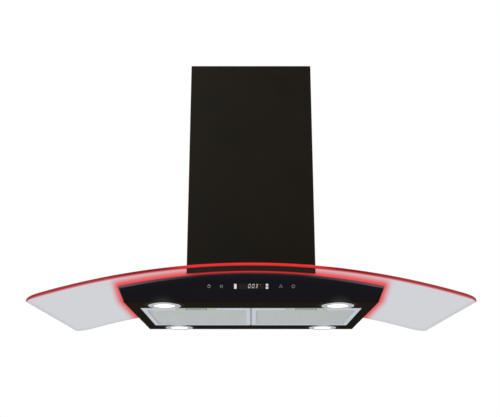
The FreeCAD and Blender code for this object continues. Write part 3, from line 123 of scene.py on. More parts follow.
class HoodSizes(bpy.types.PropertyGroup):
    glass_edge: length("Glass edge", "Radius of the polished edge of the curved glass",
                       GLASS_THICKNESS / 2, 0.5 * MM, GLASS_THICKNESS / 2)
    fascia_edge: length("Fascia edge", "Radius of the ground edge of the black glass fascia",
                        1.4 * MM, 0.1 * MM, FASCIA_THICKNESS / 2)
    digit_height: length("Digit height", "Height of the display's digits up the fascia",
                         7.7 * MM, 2.0 * MM, 14.0 * MM)
    icon_radius: length("Icon radius", "Outer radius of the touch icons", 3.1 * MM, 1.0 * MM, 8.0 * MM)
    strand_spacing: length("Strand spacing", "Distance between the strands of the filter mesh",
                           4.4 * MM, 1.0 * MM, 10.0 * MM)
    diamond_length: length("Diamond length", "Length of the filter mesh's diamonds, front to back",
                           12.0 * MM, 4.0 * MM, 30.0 * MM)
    round_steps: IntProperty(
        name="Round steps", description="Number of sides of the round pieces", default=72, min=12, max=128)


def colour(label, red, green, blue):
    """A colour setting, written as it looks on a screen, from 0 to 255."""
    values = [((part / 255 + 0.055) / 1.055) ** 2.4 for part in (red, green, blue)]
    return FloatVectorProperty(name=label, description="Colour of the " + label.lower(), subtype="COLOR",
                               size=3, default=values, min=0.0, max=1.0)


class HoodColours(bpy.types.PropertyGroup):
    paint: colour("Painted body", 25, 21, 14)
    floor_paint: colour("Painted floor", 36, 33, 27)
    fascia: colour("Fascia glass", 19, 18, 24)
    fascia_band: colour("Fascia top band", 21, 22, 32)
    clear_glass: colour("Clear glass", 208, 209, 214)
    glass_edge: colour("Clear glass edge", 196, 198, 204)
    # The red glow in the glass is painted into its colour
    red_glow: colour("Lit glass", 226, 68, 78)
    rim_middle: colour("Lit edge in the middle", 238, 46, 42)
    rim_middle_foot: colour("Foot of the lit edge in the middle", 140, 40, 38)
    rim_side: colour("Lit edge at the sides", 145, 18, 26)
    rim_tip: colour("Lit edge at the tips", 154, 56, 60)
    rim_side_foot: colour("Foot of the lit edge at the sides", 192, 74, 82)
    guide_middle: colour("Light guide in the middle", 205, 42, 36)
    guide_side: colour("Light guide at the sides", 232, 78, 84)
    lit_mark: colour("Lit mark", 218, 210, 208)
    icon: colour("Touch icon", 166, 164, 168)
    dim_mark: colour("Dim mark", 142, 138, 138)
    display: colour("Display window", 38, 34, 25)
    aluminium: colour("Filter aluminium", 248, 255, 254)
    frame_aluminium: colour("Filter frame", 230, 240, 254)
    latch: colour("Filter latch", 148, 158, 136)
    latch_cup: colour("Filter latch cup", 226, 238, 216)
    # Painted shade in the slots at the latch's ends, on the cup and on the latch's wings
    latch_slot_shade: colour("Slot beside the filter latch", 70, 76, 62)
    chrome: colour("Lamp ring", 232, 232, 236)
    lamp: colour("Lamp", 255, 253, 248)


def sizes():
    return bpy.context.scene.hood_sizes


def colours():
    return bpy.context.scene.hood_colours


# Mesh helpers

def grid_quads(rows, columns, close_rows=False, close_columns=False):
    """Quads between neighbouring points of a grid numbered row by row: each joins a point, the next one
    along its row and the same two on the next row. A closed direction wraps round to its start."""
    row = np.arange(rows if close_rows else rows - 1)[:, None]
    column = np.arange(columns if close_columns else columns - 1)[None, :]
    next_row = (row + 1) % rows
    next_column = (column + 1) % columns
    corners = (row * columns + column, row * columns + next_column,
               next_row * columns + next_column, next_row * columns + column)
    return np.stack(corners, axis=-1).reshape(-1, 4)


def together(parts):
    """One set of points and faces from several."""
    points, faces = zip(*parts)
    starts = np.cumsum([0] + [len(part) for part in points])
    return np.concatenate(points), np.concatenate([face + start for face, start in zip(faces, starts)])


def make_piece(name, shape, materials, body, replaces=(), face_materials=None, sharp_angle=32.0):
    """Puts points and faces into a mesh object, closes its seams and poles, turns its faces outwards
    and lets it ride on a body."""
    points, faces = shape
    mesh = bpy.data.meshes.new(name)
    mesh.from_pydata(points.tolist(), [], faces.tolist())
    for material in materials:
        mesh.materials.append(material)
    if face_materials is not None:
        mesh.polygons.foreach_set("material_index", face_materials)
    solid = bmesh.new()
    solid.from_mesh(mesh)
    bmesh.ops.remove_doubles(solid, verts=solid.verts, dist=MERGE_DISTANCE)
    bmesh.ops.recalc_face_normals(solid, faces=solid.faces)
    solid.to_mesh(mesh)
    solid.free()
    mesh.shade_smooth()
    mesh.set_sharp_from_angle(angle=math.radians(sharp_angle))
    piece = bpy.data.objects.new(name, mesh)
    bpy.context.scene.collection.objects.link(piece)
    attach(piece, body)
    if replaces:
        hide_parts(*replaces)
    return piece


def outward_normals(loop):
    """Unit normals of a closed loop that runs anticlockwise: the chord from the point before to the
    point after, turned a quarter clockwise."""
    chord = np.roll(loop, -1, axis=0) - np.roll(loop, 1, axis=0)
    normal = np.stack([chord[:, 1], -chord[:, 0]], axis=1)
    return normal / np.linalg.norm(normal, axis=1, keepdims=True)


def corner_arc(before, corner, after, radius, steps=6):
    """Points round a corner: a quadratic curve from a radius before it to a radius after it, with the
    corner as its middle control point."""
    before, corner, after = (np.array(point, float) for point in (before, corner, after))
    start = corner + (before - corner) / np.linalg.norm(before - corner) * radius
    end = corner + (after - corner) / np.linalg.norm(after - corner) * radius
    t = np.linspace(0, 1, steps)[:, None]
    return (1 - t) ** 2 * start + 2 * t * (1 - t) * corner + t ** 2 * end


def plate(outline, low, high, hole=None):
    """A flat piece between two heights over a plane. Its section runs from the middle, or from the
    hole's edge, along the low face to the outline, up, and back along the high face."""
    outline = np.asarray(outline, float)
    inner = np.broadcast_to(outline.mean(axis=0), outline.shape) if hole is None else hole
    rings = ((inner, low), (outline, low), (outline, high), (inner, high))
    points = np.concatenate([np.column_stack([ring, np.full(len(ring), height)]) for ring, height in rings])
    return points, grid_quads(4, len(outline), close_rows=hole is not None, close_columns=True)


def rounded_plate(loop, low, high, edge, margin, steps=5):
    """A flat piece whose outline is rounded over at both faces. The section's rows run from the middle
    of the high face to a flat margin, round a quarter circle down to the edge, and the same way back
    to the middle of the low face. A row is the outline set in along its normals."""
    turn = np.linspace(0, math.pi / 2, steps)
    insets = np.concatenate([[margin], edge * (1 - np.sin(turn))])
    depths = np.concatenate([[0.0], edge * (1 - np.cos(turn))])
    insets = np.concatenate([insets, insets[::-1]])
    heights = np.concatenate([[high], high - depths, (low + depths)[::-1], [low]])
    middle = np.broadcast_to(loop.mean(axis=0), (1,) + loop.shape)
    plan = loop[None] - insets[:, None, None] * outward_normals(loop)[None]
    plan = np.concatenate([middle, plan, middle])
    level = np.broadcast_to(heights[:, None, None], (len(heights), len(loop), 1))
    points = np.concatenate([plan, level], axis=2).reshape(-1, 3)
    return points, grid_quads(len(heights), len(loop), close_columns=True)


def turned(profile, x, y, steps):
    """A profile of radius and height carried round an upright axis: each point goes to the axis plus
    its radius times the cosine and sine of the angle."""
    profile = np.asarray(profile, float)
    angle = np.arange(steps) * 2 * math.pi / steps
    radius = profile[:, 0, None]
    points = np.stack([x + radius * np.cos(angle), y + radius * np.sin(angle),
                       np.broadcast_to(profile[:, 1, None], (len(profile), steps))], axis=-1)
    return points.reshape(-1, 3), grid_quads(len(profile), steps, close_columns=True)


def arc(middle, radius, start, end, steps=9):
    """Points of a profile on a circle, from one angle to another in degrees."""
    angle = np.radians(np.linspace(start, end, steps))
    return np.stack([middle[0] + radius * np.cos(angle), middle[1] + radius * np.sin(angle)], axis=1)


# Curved glass

CORNER_COLUMNS = 14           # of the sheet's mesh
WING_COLUMNS = 30
MIDDLE_COLUMNS = 10
FRONT_ROWS = 10
BACK_ROWS = 8
RIM_STEPS = 9
SEAM_ROWS = np.array([0.0, 0.002, 0.01])     # narrow, to keep the rim's rounding out of the flat


def arch_height(x, rise):
    """Height of a surface that curves with the glass: a circle round the arch's axis, rise outside
    the underside's circle."""
    return GLASS_CROWN - ARCH_RADIUS + np.sqrt((ARCH_RADIUS + rise) ** 2 - x ** 2)


def corner_reach(across, start, radius):
    """How far a round corner still reaches along its side, at a place across it: the height of a
    quarter circle whose middle is at start."""
    return np.sqrt(np.maximum(radius ** 2 - np.maximum(across - start, 0) ** 2, 0)) - radius


def glass_sheet():
    """The sheet's plan is set in by the edge radius and filled by columns across it, each running from
    the back edge or notch to the bowed front edge. The rim is half a circle carried round the plan's
    outline, and every height follows the arch."""
    edge = sizes().glass_edge
    half = GLASS_HALF_WIDTH - edge
    front_corner = GLASS_FRONT_CORNER - edge
    back_corner = GLASS_BACK_CORNER - edge
    notch_half = NOTCH_HALF_WIDTH + edge
    notch_corner = NOTCH_CORNER + edge
    turn = np.linspace(0, math.pi / 2, CORNER_COLUMNS)
    outer = half - back_corner * (1 - np.sin(turn))
    wing = np.linspace(notch_half, half - back_corner, WING_COLUMNS)
    notch = notch_half - notch_corner * (1 - np.sin(turn))
    middle = np.linspace(0, notch_half - notch_corner, MIDDLE_COLUMNS)
    right = np.unique(np.round(np.concatenate([middle, notch, wing, outer]), 9))
    across = np.concatenate([-right[:0:-1], right])
    width = np.abs(across)

    bow = GLASS_DEPTH - edge - GLASS_BOW * (across / GLASS_HALF_WIDTH) ** 2
    front = bow + corner_reach(width, half - front_corner, front_corner)
    back = edge - corner_reach(width, half - back_corner, back_corner)
    inner = NOTCH_DEPTH + edge
    split = np.where(width <= notch_half,
                     inner + corner_reach(width, notch_half - notch_corner, notch_corner),
                     inner - notch_corner)

    def block(start, end, rows):
        shares = np.concatenate([SEAM_ROWS, np.linspace(0.05, 0.95, rows), 1 - SEAM_ROWS[::-1]])[:, None]
        return start + shares * (end - start)

    def surface(columns, forward, rise):
        x = np.broadcast_to(across[columns], forward.shape)
        points = np.stack([x, -forward, arch_height(x, rise)], axis=-1)
        return points.reshape(-1, 3), grid_quads(*forward.shape)

    def down_column(number, forward):
        return np.column_stack([np.full(len(forward), across[number]), -forward[:, number]])

    def along(columns, forward):
        return np.column_stack([across[columns], -forward[columns]])

    front_block = block(split, front, FRONT_ROWS)
    back_block = block(back, split, BACK_ROWS)
    whole = np.ones(len(across), bool)
    left_wing = across <= -notch_half + MERGE_DISTANCE
    right_wing = across >= notch_half - MERGE_DISTANCE
    blocks = ((whole, front_block), (left_wing, back_block[:, left_wing]),
              (right_wing, back_block[:, right_wing]))
    flats = [surface(columns, forward, rise) for rise in (0.0, GLASS_THICKNESS)
             for columns, forward in blocks]

    first_left = int(np.flatnonzero(left_wing)[-1])
    first_right = int(np.flatnonzero(right_wing)[0])
    between = np.arange(first_left, first_right + 1)
    loop = np.concatenate([
        along(whole, front),
        down_column(-1, front_block)[::-1],
        down_column(-1, back_block)[::-1],
        along(right_wing, back)[::-1],
        down_column(first_right, back_block),
        along(between, split)[::-1],
        down_column(first_left, back_block)[::-1],
        along(left_wing, back)[::-1],
        down_column(0, back_block),
        down_column(0, front_block),
    ])
    step = np.linalg.norm(loop - np.roll(loop, 1, axis=0), axis=1)
    loop = loop[step > MERGE_DISTANCE]
    angle = np.linspace(0, math.pi, RIM_STEPS)
    plan = loop[None] + edge * np.sin(angle)[:, None, None] * outward_normals(loop)[None]
    rise = GLASS_THICKNESS / 2 * (1 + np.cos(angle))[:, None]
    height = arch_height(plan[..., 0], rise)[..., None]
    rim = (np.concatenate([plan, height], axis=2).reshape(-1, 3),
           grid_quads(RIM_STEPS, len(loop), close_columns=True))
    shape = together(flats + [rim])
    front_rim = -loop[:, 1] > GLASS_DEPTH - GLASS_BOW - GLASS_FRONT_CORNER
    face_materials = np.zeros(len(shape[1]), int)
    face_materials[-len(rim[1]):] = np.tile(np.where(front_rim, 1, 2), RIM_STEPS - 1)
    return shape, face_materials


# Fascia and its controls

FASCIA_CORNER = 1.6 * MM
FASCIA_MARGIN = 2.0 * MM      # of its mesh, inside the rounded edge
FASCIA_TOP_POINTS = 49
PRINT_HEIGHT = 0.12 * MM      # of a printed or lit mark over what it lies on
DARK_PRINT = (0.03, 0.03, 0.03, 1)
CONTROL_UP = 36.0 * MM        # of the row of controls, up the slope
DISPLAY_HALF_WIDTH = 26.4 * MM
DISPLAY_HALF_HEIGHT = 6.3 * MM
DISPLAY_CORNER = 0.8 * MM
BAR_X = 32.5 * MM
BAR_HALF_WIDTH = 2.55 * MM
BAR_HALF_HEIGHT = 5.6 * MM
BAR_SPLIT = 3.4 * MM
WAIST_CORNER = 0.1 * MM
DOT_X = 18.4 * MM
DOT_RADIUS = 0.8 * MM
ICON_PLACES = {"light": -86.5 * MM, "timer": -61.0 * MM, "fan": 61.0 * MM, "power": 86.5 * MM}
ICON_STROKE = 0.5 * MM
TIMER_SHARE = 0.92            # of the icon radius
POWER_SHARE = 1.1
FAN_DOT_RADIUS = 0.9 * MM
FAN_DOT_REACH = 2.6 * MM      # of the fan icon's dots from its middle
POINT_HALF_WIDTH = 1.3 * MM   # of the light icon's point, on top of its ring
POINT_BELOW = 0.8 * MM
POINT_ABOVE = 1.6 * MM
# Each digit's figure, its middle and its width as a share of its height
DIGITS = (("0", -3.5 * MM, 0.52), ("0", 4.3 * MM, 0.52), ("3", 11.4 * MM, 0.36))
DIGIT_UP = 0.8 * MM           # of the digits' middle over the row's
DIGIT_SLANT = 0.15
DIGIT_STROKE = 1.15 * MM
UPRIGHT_SHARE = 0.5           # of the stroke, in an upright bar
DIGIT_BARS = {"0": "abcdef", "3": "abcdg"}
# A seven-bar figure's ends, in half widths and half heights
BAR_ENDS = {"a": ((-1, 1), (1, 1)), "b": ((1, 1), (1, 0)), "c": ((1, 0), (1, -1)), "d": ((1, -1), (-1, -1)),
            "e": ((-1, -1), (-1, 0)), "f": ((-1, 0), (-1, 1)), "g": ((-1, 0), (1, 0))}


def on_fascia(points):
    """Turns places across, up the slope and out from the fascia's face into x, y and z: the slope's
    foot, plus across, plus up times the slope's direction, plus out times its outward normal."""
    foot = np.array([0.0, -FLOOR_FRONT, FLOOR_Z])
    across, up, out = points[:, 0, None], points[:, 1, None], points[:, 2, None]
    return foot + across * ACROSS + up * UP_SLOPE + out * OUT_OF_FASCIA


def fascia_outline():
    """The black glass's outline, across and up its slope: a straight foot, sides that lean outward and
    a top edge that follows the arch, with small rounds at the four corners."""
    foot = FASCIA_FOOT * SLOPE
    foot_half = FLOOR_HALF_WIDTH + SIDE_LEAN * FASCIA_FOOT
    across = np.linspace(BODY_HALF_WIDTH, -BODY_HALF_WIDTH, FASCIA_TOP_POINTS)
    top = np.column_stack([across, (arch_height(across, -GLOW_GAP) - FLOOR_Z) * SLOPE])
    foot_left, foot_right = (-foot_half, foot), (foot_half, foot)
    return np.concatenate([
        corner_arc(top[-1], foot_left, foot_right, FASCIA_CORNER),
        corner_arc(foot_left, foot_right, top[0], FASCIA_CORNER),
        corner_arc(foot_right, top[0], top[1], FASCIA_CORNER),
        top[1:-1],
        corner_arc(top[-2], top[-1], foot_left, FASCIA_CORNER),
    ])


def circle(x, up, radius, steps=40):
    angle = np.arange(steps) * 2 * math.pi / steps
    return np.column_stack([x + radius * np.cos(angle), up + radius * np.sin(angle)])


def rectangle(x, up, half_width, half_height, corner=0.5 * MM):
    left, right = (x - half_width, x + half_width)
    low, high = (up - half_height, up + half_height)
    corners = [(left, low), (right, low), (right, high), (left, high)]
    return np.concatenate([corner_arc(corners[number - 1], corners[number], corners[(number + 1) % 4], corner)
                           for number in range(4)])


def mark(outline, layer=0, hole=None):
    """A printed or lit mark, on the fascia's face or on the mark below it."""
    return plate(outline, layer * PRINT_HEIGHT, (layer + 1) * PRINT_HEIGHT, hole)


def ring(x, radius):
    return mark(circle(x, CONTROL_UP, radius), hole=circle(x, CONTROL_UP, radius - ICON_STROKE))


def lit_bar(start, end, width):
    """A display bar: a six-cornered outline with a point at both ends."""
    along = (end - start) / np.linalg.norm(end - start) * width / 2
    aside = np.array([-along[1], along[0]])
    return np.array([start, start + along - aside, end - along - aside, end,
                     end - along + aside, start + along + aside])


def digit_bars(figure, x, width_share):
    """The lit bars of one slanted seven-bar figure. Upright bars are narrower."""
    half_height = sizes().digit_height / 2
    bars = []
    for bar in DIGIT_BARS[figure]:
        start, end = np.array(BAR_ENDS[bar]) * (half_height * width_share, half_height)
        outline = lit_bar(start, end, DIGIT_STROKE * (1.0 if bar in "adg" else UPRIGHT_SHARE))
        outline[:, 0] += x + DIGIT_SLANT * outline[:, 1]
        outline[:, 1] += CONTROL_UP + DIGIT_UP
        bars.append(mark(outline, layer=1))
    return bars


# Filters

BAR_CLEAR = 1.1 * MM           # half the width of the bar between the filters
BAR_LAP = 4.0 * MM             # how far it lies on the floor at both ends
SHEET_THICKNESS = 1.2 * MM
CUP_HALF_WIDTH = 45.0 * MM     # of the recess round each latch
CUP_HALF_LENGTH = 10.5 * MM
CUP_Y = -320.5 * MM
CUP_WALL = 0.2 * MM
LATCH_HALF_WIDTH = 21.5 * MM   # of its body, without the wings
LATCH_SLOT = 2.0 * MM
STRAND_WIDTH = 1.4 * MM
STRAND_THICKNESS = 0.5 * MM
STRAND_TILT = math.radians(28)
STRAND_SWING = 0.42            # to each side, in strand spacings
MESH_LAYERS = 3
MESH_LAYER_STEP = 1.25 * MM
FILTER_PAD_THICKNESS = 0.8 * MM
SPRING_THICKNESS = 0.5 * MM


def strand_layer(low, high, height, shift):
    """One sheet of expanded metal. Strands run front to back; each swings sideways as a wave with flat
    peaks that meet the next strand's, with a tilted four-cornered section. A shift of -1 swaps the
    wave's sides."""
    strands = max(2, round((high.x - low.x) / sizes().strand_spacing))
    spacing = (high.x - low.x) / strands
    waves = max(1, round((high.y - low.y) / sizes().diamond_length))
    stations = 4 * waves + 1
    forward = np.linspace(low.y, high.y, stations)
    swing = np.choose(np.arange(stations) % 4, (1, 1, -1, -1)) * STRAND_SWING * spacing
    sign = np.where(np.arange(strands) % 2 == 0, 1.0, -1.0)
    middle = low.x + spacing * (np.arange(strands) + 0.5)
    x = middle[:, None] + sign[:, None] * swing[None, :] * shift
    wide = np.array([1, 1, -1, -1]) * STRAND_WIDTH / 2
    thick = np.array([1, -1, -1, 1]) * STRAND_THICKNESS / 2
    side = wide * math.cos(STRAND_TILT) - thick * math.sin(STRAND_TILT)
    rise = wide * math.sin(STRAND_TILT) + thick * math.cos(STRAND_TILT)
    shape = (strands, 4, stations)
    points = np.stack([np.broadcast_to(x[:, None, :] + side[None, :, None], shape),
                       np.broadcast_to(forward[None, None, :], shape),
                       np.broadcast_to(height + rise[None, :, None], shape)], axis=-1)
    points[..., 0] = np.clip(points[..., 0], low.x, high.x)
    quads = grid_quads(4, stations, close_rows=True)
    faces = (quads[None] + (np.arange(strands) * 4 * stations)[:, None, None]).reshape(-1, 4)
    return points.reshape(-1, 3), faces


def filter_layers(side):
    """Layers of expanded metal under a closing pad, inside the filter frame's window."""
    low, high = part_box(f"filter_mesh_{side}")
    first = low.z + STRAND_WIDTH / 2
    layers = [strand_layer(low, high, first + number * MESH_LAYER_STEP, (-1) ** number)
              for number in range(MESH_LAYERS)]
    pad = np.array([(low.x, low.y), (high.x, low.y), (high.x, high.y), (low.x, high.y)])
    layers.append(plate(pad, high.z - FILTER_PAD_THICKNESS, high.z))
    return together(layers)


def leaf_spring(low, high, stations=25):
    """A bowed leaf between the recess's wall and the latch: a front and a back arc, a thickness apart,
    that both end on the wall, carried up the leaf's height. The front arc's radius is half its chord
    squared plus its rise squared, over twice its rise."""
    middle = (low.x + high.x) / 2
    half_chord = (high.x - low.x) / 2
    rise = high.y - low.y
    radius = (half_chord ** 2 + rise ** 2) / (2 * rise)

    def bow(bow_radius):
        reach = math.acos((radius - rise) / bow_radius)
        turn = np.linspace(-reach, reach, stations)
        x = middle + bow_radius * np.sin(turn)
        return np.stack([x, low.y + radius - bow_radius * np.cos(turn)], axis=1)

    front = bow(radius)
    back = bow(radius - SPRING_THICKNESS)
    rows = ((front, low.z), (front, high.z), (back, high.z), (back, low.z))
    points = np.concatenate([np.column_stack([line, np.full(stations, height)]) for line, height in rows])
    end_faces = np.arange(4)[None, :] * stations + np.array([[0], [stations - 1]])
    return points, np.concatenate([grid_quads(4, stations, close_rows=True), end_faces])


# Lamps

BEAD_RADIUS = 1.1 * MM
RIM_RADIUS = 1.4 * MM
DISH_HEIGHT = 0.9 * MM        # of the dish's middle over the ring's lowest line
LENS_GAP = 0.1 * MM
LENS_DOME = 0.7 * MM
LENS_RINGS = 10


def bezel_profile():
    """Section of the lamp ring, clockwise from its inner wall at the floor: a bead round the lens, a
    shallow dish and a rounded outer rim. With it, which of its stretches belong to the dish."""
    bottom = BEZEL_LOW.z
    inner_bead = arc((LENS_RADIUS + BEAD_RADIUS, bottom + BEAD_RADIUS), BEAD_RADIUS, 180, 340)
    outer_rim = arc((BEZEL_RADIUS - RIM_RADIUS, bottom + RIM_RADIUS), RIM_RADIUS, 215, 360)
    dish_middle = np.array([[(LENS_RADIUS + BEZEL_RADIUS) / 2, bottom + DISH_HEIGHT]])
    profile = np.concatenate([[(LENS_RADIUS, FLOOR_Z)], inner_bead, dish_middle, outer_rim,
                              [(BEZEL_RADIUS, FLOOR_Z)], [(LENS_RADIUS, FLOOR_Z)]])
    dish = np.zeros(len(profile) - 1, int)
    dish[len(inner_bead):len(inner_bead) + 2] = 1
    return profile, dish


def lens_profile():
    """Section of the diffuser: a shallow dome, deepest in its middle, with a flat back."""
    edge = LENS_RADIUS - LENS_GAP
    radius = np.linspace(0, edge, LENS_RINGS)
    dome = LENS_LOW.z + LENS_DOME * (radius / LENS_RADIUS) ** 2
    return np.concatenate([np.column_stack([radius, dome]), [(edge, FLOOR_Z), (0.0, FLOOR_Z)]])


# Screws

def screw_shape(start, outward, steps=40, rings=22):
    """Pan head with a cross recess, on a polar grid whose rings draw closer outward: its height falls
    with the fourth power of the radius, less the recess's depth within two crossed slots."""
    head_radius = 3.5 * MM
    head_height = 1.9 * MM
    rim_fall = 0.45
    slot_half_width = 0.55 * MM
    slot_reach = 2.2 * MM
    slot_depth = 1.1 * MM
    radius = np.concatenate([np.linspace(0, 1, rings) ** 0.8, [1.0]]) * head_radius
    angle = np.arange(steps) * 2 * math.pi / steps
    a = radius[:, None] * np.cos(angle)
    b = radius[:, None] * np.sin(angle)
    height = head_height * (1 - rim_fall * (radius[:, None] / head_radius) ** 4) * np.ones_like(a)
    off_axes = np.abs(a), np.abs(b)
    in_slot = (np.minimum(*off_axes) < slot_half_width) & (np.maximum(*off_axes) < slot_reach)
    height = np.where(in_slot, height - slot_depth, height)
    height[-1] = 0.0
    outward = np.array(outward, float)
    side = np.array([0.0, 1.0, 0.0])
    up = np.cross(outward, side)
    points = np.array(start) + a[..., None] * side + b[..., None] * up + height[..., None] * outward
    back = np.broadcast_to(np.array(start, float), (1, steps, 3))
    points = np.concatenate([points, back])
    return points.reshape(-1, 3), grid_quads(len(points), steps, close_columns=True)


# Node groups

GROUPS = {}


class Tree:
    """Short ways to add shader nodes and join them."""

    def __init__(self, tree):
        self.tree = tree

    def node(self, kind, inputs=None, **settings):
        node = self.tree.nodes.new(kind)
        for name, value in settings.items():
            setattr(node, name, value)
        for name, value in (inputs or {}).items():
            self.put(node.inputs[name], value)
        return node

    def put(self, socket, value):
        if isinstance(value, bpy.types.NodeSocket):
            self.tree.links.new(value, socket)
        else:
            socket.default_value = value

    def math(self, operation, *values):
        return self.node("ShaderNodeMath", dict(enumerate(values)), operation=operation).outputs[0]

    def split(self, place):
        """The x, y and z of a place."""
        return tuple(self.node("ShaderNodeSeparateXYZ", {0: place}).outputs)

    def mix_colour(self, factor, first, second):
        node = self.node("ShaderNodeMix", data_type="RGBA")
        for name, value in (("Factor_Float", factor), ("A_Color", first), ("B_Color", second)):
            socket = next(item for item in node.inputs if item.identifier == name)
            self.put(socket, value)
        return next(item for item in node.outputs if item.identifier == "Result_Color")

    def ramp(self, value, low, high, from_low=0.0, from_high=1.0, smooth=False):
        inputs = {"Value": value, "From Min": from_low, "From Max": from_high, "To Min": low, "To Max": high}
        node = self.node("ShaderNodeMapRange", inputs)
        node.interpolation_type = "SMOOTHSTEP" if smooth else "LINEAR"
        return node.outputs[0]

    def group(self, name, place, **inputs):
        """The outputs of a shared node group, which is placed here with this tree's own values."""
        if name not in GROUPS:
            GROUPS[name] = GROUP_MAKERS[name]()
        node = self.node("ShaderNodeGroup", node_tree=GROUPS[name])
        self.put(node.inputs["Place"], place)
        for socket, value in inputs.items():
            self.put(node.inputs[socket.replace("_", " ")], value)
        return node.outputs

    def under_glass(self, place):
        """How far a place lies under the glass's underside."""
        return self.math("MULTIPLY", self.group("arch", place)[0], -1.0)


def new_group(name, outputs, **inputs):
    """An empty node group, its tree helper, its inputs and its end. It takes a place and the named
    inputs, a vector where the default is one, and puts out numbers."""
    group = bpy.data.node_groups.new(name, "ShaderNodeTree")
    group.interface.new_socket("Place", in_out="INPUT", socket_type="NodeSocketVector")
    for label, default in inputs.items():
        kind = "NodeSocketFloat" if isinstance(default, float) else "NodeSocketVector"
        made = group.interface.new_socket(label.replace("_", " "), in_out="INPUT", socket_type=kind)
        made.default_value = default
    for label in outputs:
        group.interface.new_socket(label, in_out="OUTPUT", socket_type="NodeSocketFloat")
    tree = Tree(group)
    starts = tree.node("NodeGroupInput").outputs[:1 + len(inputs)]
    return group, tree, starts, tree.node("NodeGroupOutput").inputs


def grain_group():
    """Fine even grain for a surface's height, and a broad soft tone that varies from place to place."""
    group, tree, (place, grain, patches), end = new_group(
        "Surface Grain", ["Height", "Tone"], Grain_per_metre=900.0, Patches_per_metre=9.0)
    fine = tree.node("ShaderNodeTexNoise", {"Vector": place, "Scale": grain, "Detail": 3.0,
                                            "Roughness": 0.55})
    broad = tree.node("ShaderNodeTexNoise", {"Vector": place, "Scale": patches, "Detail": 4.0,
                                             "Roughness": 0.6})
    tree.put(end[0], fine.outputs[0])
    tree.put(end[1], tree.ramp(broad.outputs[0], 0.0, 1.0, 0.3, 0.7))
    return group


def brushed_group():
    """Long thin lines along one direction: noise squeezed across the lines and stretched along them."""
    group, tree, (place, lines_per_metre), end = new_group(
        "Brushed Lines", ["Height", "Tone"], Lines_per_metre=(700.0, 12.0, 700.0))
    stretched = tree.node("ShaderNodeVectorMath", {0: place, 1: lines_per_metre}, operation="MULTIPLY")
    lines = tree.node("ShaderNodeTexNoise", {"Vector": stretched.outputs[0], "Scale": 1.0, "Detail": 5.0,
                                             "Roughness": 0.7})
    tree.put(end[0], lines.outputs[0])
    tree.put(end[1], tree.ramp(lines.outputs[0], 0.0, 1.0, 0.25, 0.75))
    return group


def arch_group():
    """Height of a place over the glass's underside: z less the height of the arch's circle there."""
    group, tree, (place,), end = new_group("Height Over The Arch", ["Height"])
    x, _, z = tree.split(place)
    under_root = tree.math("SUBTRACT", ARCH_RADIUS ** 2, tree.math("POWER", x, 2.0))
    above_axis = tree.math("SUBTRACT", z, GLASS_CROWN - ARCH_RADIUS)
    tree.put(end[0], tree.math("SUBTRACT", above_axis, tree.math("SQRT", under_root)))
    return group


GLOW_WIDEN = 20.0 * MM          # how much further out the light starts behind the body's front slope
GLOW_WIDEN_LENGTH = 190.0 * MM
SIDE_GLOW_FRONT = 20.0 * MM     # width of the light beside the body, at its front and at the wall
SIDE_GLOW_BACK = 28.0 * MM
FRONT_GLOW_START = -16.0 * MM   # ahead of the body's front, where the light is full and where it ends
FRONT_GLOW_END = 50.0 * MM
INNER_GLOW_START = 14.0 * MM    # inside the body's outline, where the light is full and where it ends
INNER_GLOW_END = 40.0 * MM
EDGE_GLOW_FULL = 8.0 * MM       # how far behind its front edge the edge lights the glass, full and at most
EDGE_GLOW_END = 15.0 * MM
BAND_FULL = 9.0 * MM            # how far under the fascia's top its bluer band is full, and at most
BAND_END = 11.5 * MM
# A painted highlight line along the fascia's top edge, in place of the light caught there
TOP_HIGHLIGHT_FULL = 2.6 * MM        # how far under the fascia's top its painted highlight line is full, and at most
TOP_HIGHLIGHT_END = 3.8 * MM
TOP_HIGHLIGHT_START = 105.0 * MM     # from the middle, where the painted highlight starts to grow, and is strongest
TOP_HIGHLIGHT_STRONG = 255.0 * MM
TOP_HIGHLIGHT_LEAST = 0.06           # its share in the middle
TOP_HIGHLIGHT_COLOUR = (0.125, 0.155, 0.165, 1)


def glow_group():
    """How much red light a place in the glass gets: all beside and in front of the body's outline,
    falling with the distance outward from it, and soon none over the body itself. Beside the body the
    light's edge leaves it and widens towards the wall."""
    group, tree, (place,), end = new_group("Light From The Body", ["Mask"])
    x, y, _ = tree.split(place)
    across = tree.math("ABSOLUTE", x)
    forward = tree.math("MULTIPLY", y, -1.0)
    square = tree.math("POWER", across, 2.0)
    fall = tree.math("MULTIPLY", square, FRONT_LEAN / (2 * ARCH_RADIUS))
    body_front = tree.math("SUBTRACT", FLOOR_FRONT + FRONT_LEAN * CROWN_HEIGHT, fall)
    beside = tree.math("SUBTRACT", across, BODY_HALF_WIDTH)
    ahead = tree.math("SUBTRACT", forward, body_front)
    widen = tree.ramp(forward, GLOW_WIDEN, 0.0, CORNER_FRONT - GLOW_WIDEN_LENGTH, CORNER_FRONT)
    width = tree.ramp(forward, SIDE_GLOW_BACK, SIDE_GLOW_FRONT, 0.0, CORNER_FRONT)
    beyond = tree.math("DIVIDE", tree.math("SUBTRACT", beside, widen), width)
    side = tree.ramp(beyond, 1.0, 0.0, smooth=True)
    front = tree.ramp(ahead, 1.0, 0.0, FRONT_GLOW_START, FRONT_GLOW_END)
    inside = tree.math("MULTIPLY", tree.math("MAXIMUM", beside, ahead), -1.0)
    inner = tree.ramp(inside, 1.0, 0.0, INNER_GLOW_START, INNER_GLOW_END, smooth=True)
    around = tree.math("MULTIPLY", tree.math("MULTIPLY", side, front), inner)
    bow = tree.math("MULTIPLY", square, GLASS_BOW / GLASS_HALF_WIDTH ** 2)
    behind_edge = tree.math("SUBTRACT", GLASS_DEPTH, tree.math("ADD", forward, bow))
    edge = tree.ramp(behind_edge, 1.0, 0.0, EDGE_GLOW_FULL, EDGE_GLOW_END)
    tree.put(end[0], tree.math("MAXIMUM", around, edge))
    return group


